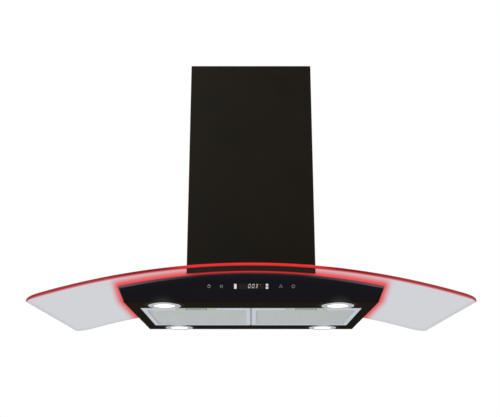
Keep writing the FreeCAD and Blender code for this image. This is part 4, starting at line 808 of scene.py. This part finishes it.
def top_highlight_group():
    """A painted highlight line along the fascia's top edge, in place of the light its ground edge catches,
    strongest near its corners: full from the edge to a little under it, and growing with the distance
    from the middle."""
    group, tree, (place,), end = new_group("Fascia Top Highlight", ["Mask"])
    across = tree.math("ABSOLUTE", tree.split(place)[0])
    line = tree.ramp(tree.under_glass(place), 1.0, 0.0, GLOW_GAP + TOP_HIGHLIGHT_FULL, GLOW_GAP + TOP_HIGHLIGHT_END)
    sides = tree.ramp(across, TOP_HIGHLIGHT_LEAST, 1.0, TOP_HIGHLIGHT_START, TOP_HIGHLIGHT_STRONG)
    tree.put(end[0], tree.math("MULTIPLY", line, sides))
    return group


def halo_group():
    """Soft light round each lamp: full up to a start radius from the nearest lamp's middle, and faded
    over its reach with the square of what is left."""
    group, tree, (place, start, reach), end = new_group(
        "Lamp Halo", ["Mask"], Start=BEZEL_RADIUS, Reach=0.03)
    x, y, _ = tree.split(place)
    across = tree.math("SUBTRACT", tree.math("ABSOLUTE", x), LAMP_X)
    rows = [tree.math("ABSOLUTE", tree.math("SUBTRACT", y, LAMP_Y[row])) for row in ROWS]
    squares = [tree.math("POWER", side, 2.0) for side in (across, tree.math("MINIMUM", *rows))]
    distance = tree.math("SQRT", tree.math("ADD", *squares))
    beyond = tree.math("DIVIDE", tree.math("SUBTRACT", distance, start), reach)
    tree.put(end[0], tree.math("POWER", tree.ramp(beyond, 1.0, 0.0), 2.0))
    return group


GROUP_MAKERS = {"grain": grain_group, "brushed": brushed_group, "arch": arch_group, "glow": glow_group,
                "top_highlight": top_highlight_group, "halo": halo_group}


# Materials

BLACK = (0, 0, 0, 1)
FLOOR_HALO = 14.0 * MM          # reach of the lamplight round a lamp's ring, on the floor and the fascia
FASCIA_HALO = 16.0 * MM
SIDE_START = 112.0 * MM         # from the middle, where the lit edge and the guide leave their middle colour
RIM_SIDE_END = 178.0 * MM
GUIDE_SIDE_END = 150.0 * MM
RIM_TIP_START = 220.0 * MM
RIM_TIP_END = 310.0 * MM
RIM_FOOT = 0.24 * GLASS_THICKNESS


def rgba(value, share=1.0):
    return [min(part * share, 1.0) for part in value[:3]] + [1.0]


class Look(Tree):
    """A material with its Principled shader, whose plain values are set on its own sockets."""

    def __init__(self, name, **shader_values):
        self.material = bpy.data.materials.new(name)
        self.material.use_nodes = True
        super().__init__(self.material.node_tree)
        self.shader = self.tree.nodes["Principled BSDF"]
        for socket, value in shader_values.items():
            self.set(socket.replace("_", " "), value)
        self.place = self.node("ShaderNodeTexCoord").outputs["Object"]

    def set(self, socket, value):
        self.put(self.shader.inputs[socket], value)

    def blend(self, socket, factor, first, second):
        """Feeds one of the shader's sockets with a colour between two."""
        self.set(socket, self.mix_colour(factor, first, second))

    def effect(self, name, **inputs):
        """The outputs of a shared node group at this material's place."""
        return self.group(name, self.place, **inputs)

    def bump(self, height, strength, distance):
        inputs = {"Height": height, "Strength": strength, "Distance": distance}
        self.set("Normal", self.node("ShaderNodeBump", inputs).outputs[0])

    def base_colour(self):
        """What feeds the base colour so far."""
        return self.shader.inputs["Base Color"].links[0].from_socket


def grained(name, base, tone=0.15, rough=(0.35, 0.5), grain=900.0, bump=0.15, **shader_values):
    """A painted, moulded or cast surface: fine grain, and a tone and gloss that vary softly."""
    look = Look(name, **shader_values)
    height, patches = look.effect("grain", Grain_per_metre=grain)
    look.blend("Base Color", patches, rgba(base, 1 - tone), rgba(base, 1 + tone))
    look.set("Roughness", look.ramp(patches, *rough))
    look.bump(height, bump, 0.0002)
    return look


def brushed(name, base, lines, tone=0.08, rough=(0.25, 0.4), bump=0.2):
    """A brushed or drawn metal surface with long fine lines."""
    look = Look(name, Metallic=1.0)
    height, streaks = look.effect("brushed", Lines_per_metre=lines)
    look.blend("Base Color", streaks, rgba(base, 1 - tone), rgba(base, 1 + tone))
    look.set("Roughness", look.ramp(streaks, *rough))
    look.bump(height, bump, 0.0001)
    return look


def lit(name, glow):
    """A lit mark, dark where its own light doesn't reach: its light varies a little from place to
    place."""
    look = Look(name, Emission_Strength=1.0, Roughness=0.4, Base_Color=DARK_PRINT)
    patches = look.effect("grain", Grain_per_metre=600.0, Patches_per_metre=60.0)[1]
    look.blend("Emission Color", patches, rgba(glow, 0.94), rgba(glow))
    return look


def lamp_diffuser():
    """The lamp's lit lens, a little dimmer and warmer towards its ring."""
    look = Look("lamp_diffuser", Emission_Strength=1.6, Roughness=0.4, Base_Color=rgba(colours().lamp))
    light = look.effect("halo", Start=0.5 * LENS_RADIUS, Reach=0.75 * LENS_RADIUS)[0]
    look.blend("Emission Color", light, (0.46, 0.44, 0.4, 1), rgba(colours().lamp))
    return look


def black_paint():
    """Satin powder coat of the chimney and the arched top."""
    return grained("powder_coat", colours().paint, tone=0.1, rough=(0.3, 0.42), grain=1400.0, bump=0.12,
                   Specular_IOR_Level=0.06)


def matt_paint():
    """Dull powder coat of the lamp and filter floor, with a soft halo of lamplight round each lamp."""
    look = grained("matt_powder_coat", colours().floor_paint, tone=0.06, rough=(0.6, 0.75), grain=1400.0,
                   bump=0.12, Specular_IOR_Level=0.0, Emission_Strength=1.0)
    look.blend("Emission Color", look.effect("halo", Reach=FLOOR_HALO)[0], BLACK, (0.03, 0.028, 0.025, 1))
    return look


def black_glass():
    """Polished black glass with a slightly bluer band and a painted highlight line along its top edge, and a
    little lamplight at its foot."""
    look = Look("black_fascia_glass", Specular_IOR_Level=0.06, Emission_Strength=1.0)
    band = look.ramp(look.under_glass(look.place), 1.0, 0.0, GLOW_GAP + BAND_FULL, GLOW_GAP + BAND_END)
    face = look.mix_colour(band, rgba(colours().fascia), rgba(colours().fascia_band))
    # Paints a highlight line along the face's top edge
    look.blend("Base Color", look.effect("top_highlight")[0], face, TOP_HIGHLIGHT_COLOUR)
    patches = look.effect("grain", Patches_per_metre=14.0)[1]
    look.set("Roughness", look.ramp(patches, 0.03, 0.09))
    look.blend("Emission Color", look.effect("halo", Reach=FASCIA_HALO)[0], BLACK, (0.05, 0.047, 0.042, 1))
    return look


def ground_edge_and_highlight():
    """The fascia's ground edge, paler and bluer than its face, partly as its own ground finish and partly
    as a painted highlight, with a painted highlight line along its top that is strongest near its top
    corners."""
    look = grained("ground_edge_and_highlight", (0.02, 0.032, 0.037), tone=0.3, rough=(0.2, 0.35), grain=2500.0,
                   Specular_IOR_Level=0.3)
    # Paints a highlight line along the top of the ground edge
    look.blend("Base Color", look.effect("top_highlight")[0], look.base_colour(), TOP_HIGHLIGHT_COLOUR)
    return look


def paint_glass_glow(look, clear):
    """Paints the red glow into clear glass as a red colour, where the light from the body reaches it."""
    look.blend("Base Color", look.effect("glow")[0], rgba(clear), rgba(colours().red_glow))
    patches = look.effect("grain", Patches_per_metre=7.0)[1]
    look.set("Roughness", look.ramp(patches, 0.0, 0.012))


def clear_glass():
    """The canopy's clear sheet. Its upper face has a gloss that shows from above only, so that the
    underside stays clear."""
    look = Look("canopy_glass", Transmission_Weight=1.0, Metallic=0.0, IOR=1.01, Coat_IOR=1.5,
                Coat_Roughness=0.02, Emission_Strength=1.0)
    paint_glass_glow(look, colours().clear_glass)
    surface = look.node("ShaderNodeNewGeometry").outputs
    upward = look.ramp(look.split(surface["Normal"])[2], 0.0, 1.0, 0.2, 0.6)
    outside = look.math("SUBTRACT", 1.0, surface["Backfacing"])
    look.set("Coat Weight", look.math("MULTIPLY", upward, outside))
    # A faint painted glow over the whole sheet, varying a little from place to place
    faint_painted_glow = look.effect("grain", Patches_per_metre=20.0)[1]
    look.blend("Emission Color", faint_painted_glow, (0.006, 0.007, 0.0065, 1), (0.0072, 0.0082, 0.0075, 1))
    return look


def clear_glass_rim():
    """The sheet's polished edge at its sides and back."""
    look = Look("polished_rim", Transmission_Weight=1.0, Metallic=0.0, IOR=1.02, Coat_Weight=0.15,
                Coat_IOR=1.5)
    paint_glass_glow(look, colours().glass_edge)
    return look


def lit_glass_rim():
    """The sheet's front edge, which carries the red light: bright in the middle, deep red at both
    sides, and paler along its foot there."""
    look = Look("lit_rim", Specular_IOR_Level=0.05, Emission_Strength=1.0, Base_Color=(0.02, 0.002, 0.002, 1))
    across = look.math("ABSOLUTE", look.split(look.place)[0])
    height, patches = look.effect("grain", Grain_per_metre=400.0, Patches_per_metre=30.0)
    upper = look.ramp(look.effect("arch")[0], 0.0, 1.0, 0.0, RIM_FOOT, smooth=True)
    sides = look.ramp(across, 0.0, 1.0, SIDE_START, RIM_SIDE_END, smooth=True)
    tips = look.ramp(across, 0.0, 1.0, RIM_TIP_START, RIM_TIP_END, smooth=True)
    middle = look.mix_colour(upper, rgba(colours().rim_middle_foot), rgba(colours().rim_middle))
    upper_side = look.mix_colour(tips, rgba(colours().rim_side), rgba(colours().rim_tip))
    side = look.mix_colour(upper, rgba(colours().rim_side_foot), upper_side)
    light = look.mix_colour(sides, middle, side)
    look.blend("Emission Color", look.ramp(patches, 0.0, 0.08), light, BLACK)
    look.set("Roughness", look.ramp(height, 0.08, 0.25))
    return look


def glowing_guide():
    """The light guide under the glass: brightest along a line below its top, and brighter beside the
    chimney than in front of it."""
    look = Look("glowing_guide", Roughness=0.5, Emission_Strength=1.0, Specular_IOR_Level=0.05,
                Base_Color=(0.08, 0.008, 0.008, 1))
    across = look.math("ABSOLUTE", look.split(look.place)[0])
    over_line = look.math("ADD", look.effect("arch")[0], 0.5 * GLOW_GAP)
    sides = look.ramp(across, 0.0, 1.0, SIDE_START, GUIDE_SIDE_END, smooth=True)
    above = look.math("MULTIPLY", look.math("MAXIMUM", over_line, 0.0), look.math("SUBTRACT", 1.0, sides))
    below = look.math("MAXIMUM", look.math("MULTIPLY", over_line, -1.0), 0.0)
    off_line = look.math("ADD", above, below)
    line = look.ramp(off_line, 1.0, 0.06, 0.06 * GLOW_GAP, 0.42 * GLOW_GAP, smooth=True)
    light = look.mix_colour(sides, rgba(colours().guide_middle), rgba(colours().guide_side))
    look.blend("Emission Color", line, (0.02, 0.004, 0.003, 1), light)
    return look


def off_latch(look, x):
    """How far a place is across from the middle of the latch on its side."""
    low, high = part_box("filter_latch_right")
    return look.math("ABSOLUTE", look.math("SUBTRACT", look.math("ABSOLUTE", x), (low.x + high.x) / 2))


def filter_frame():
    """Brushed aluminium frame, with a moulded cup in the recess round its latch, and painted shade in the
    slots at the latch's ends.
    """
    look = Look("filter_frame")
    height, streaks = look.effect("brushed", Lines_per_metre=(900.0, 14.0, 900.0))
    x, y, z = look.split(look.place)
    across = off_latch(look, x)
    along = look.math("ABSOLUTE", look.math("SUBTRACT", y, CUP_Y))
    in_width = look.math("LESS_THAN", across, CUP_HALF_WIDTH + CUP_WALL)
    in_length = look.math("LESS_THAN", along, CUP_HALF_LENGTH + CUP_WALL)
    in_depth = look.math("GREATER_THAN", z, FLOOR_Z + CUP_WALL)
    cup = look.math("MULTIPLY", look.math("MULTIPLY", in_width, in_length), in_depth)
    # Painted shade in the slots at the latch's ends
    slot_shade = look.math("COMPARE", across, LATCH_HALF_WIDTH + LATCH_SLOT / 2, LATCH_SLOT / 2)
    aluminium = colours().frame_aluminium
    metal = look.mix_colour(streaks, rgba(aluminium, 0.9), rgba(aluminium, 1.1))
    moulded = look.mix_colour(slot_shade, rgba(colours().latch_cup), rgba(colours().latch_slot_shade))
    look.blend("Base Color", cup, metal, moulded)
    look.set("Metallic", look.math("SUBTRACT", 1.0, cup))
    look.set("Roughness", look.ramp(streaks, 0.28, 0.42))
    look.bump(height, 0.25, 0.0001)
    return look


def latch_plastic():
    """Moulded plastic of the filter latch, with painted shade on the wings that run in the slots at its ends.
    """
    look = grained("moulded_grey", colours().latch, tone=0.06, rough=(0.4, 0.55), grain=1500.0, bump=0.2)
    across = off_latch(look, look.split(look.place)[0])
    # Painted shade on the wings, where they run in the slots
    wings = look.math("GREATER_THAN", across, LATCH_HALF_WIDTH + CUP_WALL)
    look.blend("Base Color", wings, look.base_colour(), rgba(colours().latch_slot_shade))
    return look


def shaded_dish():
    """The dish between the lamp ring's bead and rim, in a darker, duller metal that paints the shade and dark
    reflections in its groove.
    """
    return brushed("shaded_dish", (0.58, 0.6, 0.64), (900.0, 900.0, 40.0), tone=0.15, rough=(0.3, 0.45),
                   bump=0.1)


def circuit_board():
    """Green laminate with paler copper tracks under its lacquer."""
    look = Look("lacquered_board", Roughness=0.4)
    tracks = look.node("ShaderNodeTexBrick", {
        "Vector": look.place, "Scale": 160.0, "Mortar Size": 0.04, "Color1": (0.01, 0.07, 0.03, 1),
        "Color2": (0.015, 0.09, 0.04, 1), "Mortar": (0.05, 0.2, 0.09, 1)})
    look.set("Base Color", tracks.outputs[0])
    return look


def slot_looks():
    """The finish for each of the record's material slots."""
    return {
        "black_paint": black_paint(),
        "black_glass": black_glass(),
        "clear_glass": clear_glass(),
        "red_guide": glowing_guide(),
        "circuit_board": circuit_board(),
        "display_block": grained("display_housing", (0.012, 0.01, 0.009), rough=(0.3, 0.4)),
        "rubber": grained("black_rubber", (0.004, 0.004, 0.004), rough=(0.7, 0.85), grain=2000.0, bump=0.3),
        "zinc_steel": brushed("zinc_plate", (0.42, 0.44, 0.46), (60.0, 60.0, 900.0), tone=0.18,
                              rough=(0.3, 0.5)),
        "screw_steel": brushed("polished_screw", (0.5, 0.5, 0.5), (400.0, 400.0, 1600.0), rough=(0.2, 0.35)),
        "spring_steel": brushed("blue_spring", (0.4, 0.4, 0.42), (20.0, 900.0, 900.0), rough=(0.15, 0.3)),
        "black_plastic": grained("moulded_black", (0.006, 0.006, 0.0065), rough=(0.45, 0.6), grain=1800.0,
                                 bump=0.35, Specular_IOR_Level=0.35),
        "grey_plastic": latch_plastic(),
        "motor_paint": grained("motor_enamel", (0.1, 0.11, 0.13), rough=(0.3, 0.45), grain=1200.0),
        "capacitor_case": grained("drawn_can", (0.68, 0.69, 0.69), tone=0.04, rough=(0.35, 0.5)),
        "filter_aluminium": filter_frame(),
        "chrome_ring": brushed("lamp_chrome", colours().chrome, (900.0, 900.0, 40.0), tone=0.03,
                               rough=(0.06, 0.14), bump=0.03),
        "lamp_lens": lamp_diffuser(),
        "lamp_module": grained("cast_heatsink", (0.3, 0.31, 0.32), rough=(0.5, 0.65), grain=1500.0, bump=0.4,
                               Metallic=1.0),
    }


FINISHES = {}


def finish(slot):
    """The material of a material slot, made with all the others on first use."""
    if not FINISHES:
        FINISHES.update(slot_looks())
    return FINISHES[slot].material


# Operators, one for each piece or group of like pieces

class HOOD_OT_finishes(bpy.types.Operator):
    """Gives each CAD piece the finish of its material slot"""
    bl_idname = "hood.finishes"
    bl_label = "Finishes"

    def execute(self, context):
        for subpart in frame["record"]["subparts"]:
            piece = frame["nodes"][subpart["node"]]
            piece.data.materials.clear()
            piece.data.materials.append(finish(subpart["material_slot"]))
        frame["nodes"]["canopy_base"].data.materials[0] = matt_paint().material
        return {"FINISHED"}


class HOOD_OT_curved_glass(bpy.types.Operator):
    """Makes the arched glass sheet with its polished edge"""
    bl_idname = "hood.curved_glass"
    bl_label = "Curved glass"

    def execute(self, context):
        shape, face_materials = glass_sheet()
        materials = [finish("clear_glass"), lit_glass_rim().material, clear_glass_rim().material]
        make_piece("glass_sheet", shape, materials, "hood", replaces=["curved_glass"],
                   face_materials=face_materials, sharp_angle=60.0)
        return {"FINISHED"}


class HOOD_OT_fascia(bpy.types.Operator):
    """Makes the black glass fascia with its ground edges"""
    bl_idname = "hood.fascia"
    bl_label = "Fascia"

    def execute(self, context):
        outline = fascia_outline()
        points, faces = rounded_plate(outline, -FASCIA_THICKNESS, 0.0, sizes().fascia_edge, FASCIA_MARGIN)
        ground = outline[:, 1] > (FASCIA_FOOT + FASCIA_THICKNESS) * SLOPE
        face_materials = np.tile(ground.astype(int), len(faces) // len(outline))
        face_materials[:2 * len(outline)] = 0
        make_piece("fascia", (on_fascia(points), faces), [finish("black_glass"), ground_edge_and_highlight().material],
                   "hood", replaces=["fascia_glass"], face_materials=face_materials,
                   sharp_angle=50.0)
        return {"FINISHED"}


class HOOD_OT_controls(bpy.types.Operator):
    """Makes the display window, its figures, the lit bars and the touch icons"""
    bl_idname = "hood.controls"
    bl_label = "Controls"

    def execute(self, context):
        bright = lit("lit_mark", colours().lit_mark)
        icon = lit("icon_mark", colours().icon)
        dim = lit("dim_mark", colours().dim_mark)
        window = grained("display_window", colours().display, tone=0.1, rough=(0.12, 0.2), grain=3000.0,
                         bump=0.02, Specular_IOR_Level=0.06)
        radius = sizes().icon_radius
        display = rectangle(0.0, CONTROL_UP, DISPLAY_HALF_WIDTH, DISPLAY_HALF_HEIGHT, DISPLAY_CORNER)
        figures = [bar for digit in DIGITS for bar in digit_bars(*digit)]
        dot = circle(DOT_X, CONTROL_UP + DIGIT_UP + sizes().digit_height / 2 - DOT_RADIUS, DOT_RADIUS)
        light_x = ICON_PLACES["light"]
        top = CONTROL_UP + radius
        point = np.array([(light_x - POINT_HALF_WIDTH, top), (light_x, top - POINT_BELOW),
                          (light_x + POINT_HALF_WIDTH, top), (light_x, top + POINT_ABOVE)])
        half_square = (BAR_HALF_HEIGHT - BAR_SPLIT / 2) / 2
        squares = [mark(rectangle(BAR_X, CONTROL_UP + side * (half_square + BAR_SPLIT / 2), BAR_HALF_WIDTH,
                                  half_square)) for side in (-1, 1)]
        waist = rectangle(BAR_X, CONTROL_UP, BAR_HALF_WIDTH, BAR_SPLIT / 2, WAIST_CORNER)
        blades = [mark(circle(ICON_PLACES["fan"] + FAN_DOT_REACH * math.cos(angle),
                              CONTROL_UP + FAN_DOT_REACH * math.sin(angle), FAN_DOT_RADIUS))
                  for angle in (math.radians(90 + 120 * number) for number in range(3))]
        marks = {
            "display_window": ([mark(display)], window),
            "display_figures": (figures, bright),
            "display_dot": ([mark(dot, layer=1)], dim),
            "bar_left": ([mark(rectangle(-BAR_X, CONTROL_UP, BAR_HALF_WIDTH, BAR_HALF_HEIGHT))], bright),
            "bar_right": (squares, bright),
            "bar_right_waist": ([mark(waist)], dim),
            "icon_light": ([ring(light_x, radius), mark(point)], icon),
            "icon_timer": ([ring(ICON_PLACES["timer"], radius * TIMER_SHARE)], icon),
            "icon_fan": (blades, icon),
            "icon_power": ([ring(ICON_PLACES["power"], radius * POWER_SHARE)], icon),
        }
        for name, (parts, look) in marks.items():
            points, faces = together(parts)
            make_piece(name, (on_fascia(points), faces), [look.material], "hood")
        return {"FINISHED"}


class HOOD_OT_filters(bpy.types.Operator):
    """Makes both filters' expanded metal, their latches' leaf springs and the bar between the filters"""
    bl_idname = "hood.filters"
    bl_label = "Filters"

    def execute(self, context):
        strands = brushed("filter_strands", colours().aluminium, (900.0, 60.0, 900.0), tone=0.06,
                          rough=(0.3, 0.5), bump=0.15)
        low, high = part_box("filter_frame_right")
        bar = np.array([(-BAR_CLEAR, low.y - BAR_LAP), (BAR_CLEAR, low.y - BAR_LAP),
                        (BAR_CLEAR, high.y + BAR_LAP), (-BAR_CLEAR, high.y + BAR_LAP)])
        bar_low = FLOOR_Z + SHEET_THICKNESS
        make_piece("filter_divider", plate(bar, bar_low, bar_low + SHEET_THICKNESS), [finish("zinc_steel")],
                   "hood")
        for side, _ in SIDES:
            make_piece(f"filter_layers_{side}", filter_layers(side), [strands.material], f"filter_{side}",
                       replaces=[f"filter_mesh_{side}"])
            self.make_spring(side)
        return {"FINISHED"}

    def make_spring(self, side):
        """The bowed leaf spring of one latch, with a mesh of its own."""
        low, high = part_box(f"latch_spring_{side}")
        spring = make_piece(f"latch_leaf_{side}", leaf_spring(low, high), [finish("spring_steel")],
                            f"filter_{side}", replaces=[f"latch_spring_{side}"])
        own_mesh(spring)


class HOOD_OT_lamps(bpy.types.Operator):
    """Makes the ring and the diffuser of each lamp"""
    bl_idname = "hood.lamps"
    bl_label = "Lamps"

    def execute(self, context):
        profile, dish = bezel_profile()
        steps = sizes().round_steps
        # The dish's darker metal is painted shade in the groove between bead and rim
        rings = [finish("chrome_ring"), shaded_dish().material]
        for row in ROWS:
            for side, sign in SIDES:
                bezel = turned(profile, sign * LAMP_X, LAMP_Y[row], steps)
                make_piece(f"lamp_ring_{row}_{side}", bezel, rings, "hood",
                           replaces=[f"lamp_bezel_{row}_{side}"], face_materials=np.repeat(dish, steps))
                lens = turned(lens_profile(), sign * LAMP_X, LAMP_Y[row], steps)
                make_piece(f"lamp_diffuser_{row}_{side}", lens, [finish("lamp_lens")], "hood",
                           replaces=[f"lamp_lens_{row}_{side}"])
        return {"FINISHED"}


class HOOD_OT_chimney_screws(bpy.types.Operator):
    """Makes the cross-recessed screws on the chimney's sides"""
    bl_idname = "hood.chimney_screws"
    bl_label = "Chimney screws"

    def execute(self, context):
        low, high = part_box("chimney_screws")
        chimney_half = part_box("chimney_outer")[1].x
        middle = ((low.y + high.y) / 2, (low.z + high.z) / 2)
        heads = [screw_shape((sign * chimney_half, *middle), (sign, 0.0, 0.0)) for _, sign in SIDES]
        make_piece("chimney_screw_heads", together(heads), [finish("screw_steel")], "hood",
                   replaces=["chimney_screws"])
        return {"FINISHED"}


CAMERA_PLACE = (-0.0024, -1.8952, FLOOR_Z - 0.2574)
CAMERA_PITCH = 0.28
CAMERA_FOCUS_PIXELS = 723.6
CAMERA_SHIFT = 0.03
PHOTO_WIDTH_PIXELS = 500
SENSOR_WIDTH_MM = 36.0
FLOOR_DROP = 1.15
FLOOR_SIZE = 60.0
AMBIENT = 0.62
LIGHT_TARGET = np.array([0.0, -0.2, 0.1])
# Each light's name, place, size and power
LIGHTS = (("front_light", (-1.3, -2.4, 1.5), 2.2, 26.0), ("right_light", (2.0, -1.2, 1.0), 1.6, 12.0),
          ("back_light", (0.6, 2.2, 1.6), 1.8, 12.0))


class HOOD_OT_stage(bpy.types.Operator):
    """Makes the floor, the lights, the white surroundings and the camera"""
    bl_idname = "hood.stage"
    bl_label = "Stage"

    def execute(self, context):
        self.make_floor(context)
        self.make_world(context)
        self.make_lights(context)
        self.make_camera(context)
        context.scene.view_settings.view_transform = "Standard"
        return {"FINISHED"}

    def make_floor(self, context):
        half = FLOOR_SIZE / 2
        mesh = bpy.data.meshes.new("floor")
        plan = ((-half, -half), (half, -half), (half, half), (-half, half))
        mesh.from_pydata([(x, y, -FLOOR_DROP) for x, y in plan], [], [(0, 1, 2, 3)])
        look = Look("floor", Roughness=0.7, Specular_IOR_Level=0.1, Base_Color=(0.9, 0.9, 0.9, 1))
        mesh.materials.append(look.material)
        floor = bpy.data.objects.new("floor", mesh)
        context.scene.collection.objects.link(floor)

    def make_world(self, context):
        world = bpy.data.worlds.new("surroundings")
        context.scene.world = world
        world.use_nodes = True
        tree = Tree(world.node_tree)
        background = world.node_tree.nodes["Background"]
        background.inputs["Color"].default_value = (1, 1, 1, 1)
        path = tree.node("ShaderNodeLightPath").outputs
        seen = tree.math("MAXIMUM", path["Is Camera Ray"], path["Is Glossy Ray"])
        seen = tree.math("MAXIMUM", seen, path["Is Transmission Ray"])
        tree.put(background.inputs["Strength"], tree.ramp(seen, AMBIENT, 1.0))

    def make_lights(self, context):
        for name, place, size, power in LIGHTS:
            data = bpy.data.lights.new(name, "AREA")
            data.size = size
            data.energy = power
            light = bpy.data.objects.new(name, data)
            light.location = place
            direction = Vector(LIGHT_TARGET - np.array(place))
            light.rotation_euler = direction.to_track_quat("-Z", "Y").to_euler()
            context.scene.collection.objects.link(light)

    def make_camera(self, context):
        data = bpy.data.cameras.new("camera")
        data.sensor_width = SENSOR_WIDTH_MM
        data.lens = CAMERA_FOCUS_PIXELS / PHOTO_WIDTH_PIXELS * SENSOR_WIDTH_MM
        data.shift_y = CAMERA_SHIFT
        camera = bpy.data.objects.new("camera", data)
        camera.location = CAMERA_PLACE
        camera.rotation_euler = (math.pi / 2 + CAMERA_PITCH, 0.0, 0.0)
        context.scene.collection.objects.link(camera)
        context.scene.camera = camera


class HOOD_PT_panel(bpy.types.Panel):
    """Lists the hood's sizes, colours and steps"""
    bl_idname = "HOOD_PT_panel"
    bl_label = "Range Hood"
    bl_space_type = "VIEW_3D"
    bl_region_type = "UI"
    bl_category = "Range Hood"

    def draw(self, context):
        layout = self.layout
        for group in (context.scene.hood_sizes, context.scene.hood_colours):
            box = layout.box()
            for name in group.__annotations__:
                box.prop(group, name)
        for operator in OPERATORS:
            layout.operator(operator.bl_idname)


OPERATORS = (HOOD_OT_finishes, HOOD_OT_curved_glass, HOOD_OT_fascia, HOOD_OT_controls, HOOD_OT_filters,
             HOOD_OT_lamps, HOOD_OT_chimney_screws, HOOD_OT_stage)
CLASSES = (HoodSizes, HoodColours) + OPERATORS + (HOOD_PT_panel,)


def register():
    for item in CLASSES:
        bpy.utils.register_class(item)
    bpy.types.Scene.hood_sizes = PointerProperty(type=HoodSizes)
    bpy.types.Scene.hood_colours = PointerProperty(type=HoodColours)


def unregister():
    del bpy.types.Scene.hood_colours
    del bpy.types.Scene.hood_sizes
    for item in reversed(CLASSES):
        bpy.utils.unregister_class(item)


def main():
    register()
    for operator in OPERATORS:
        prefix, name = operator.bl_idname.split(".")
        getattr(getattr(bpy.ops, prefix), name)()


if __name__ == "__main__":
    main()
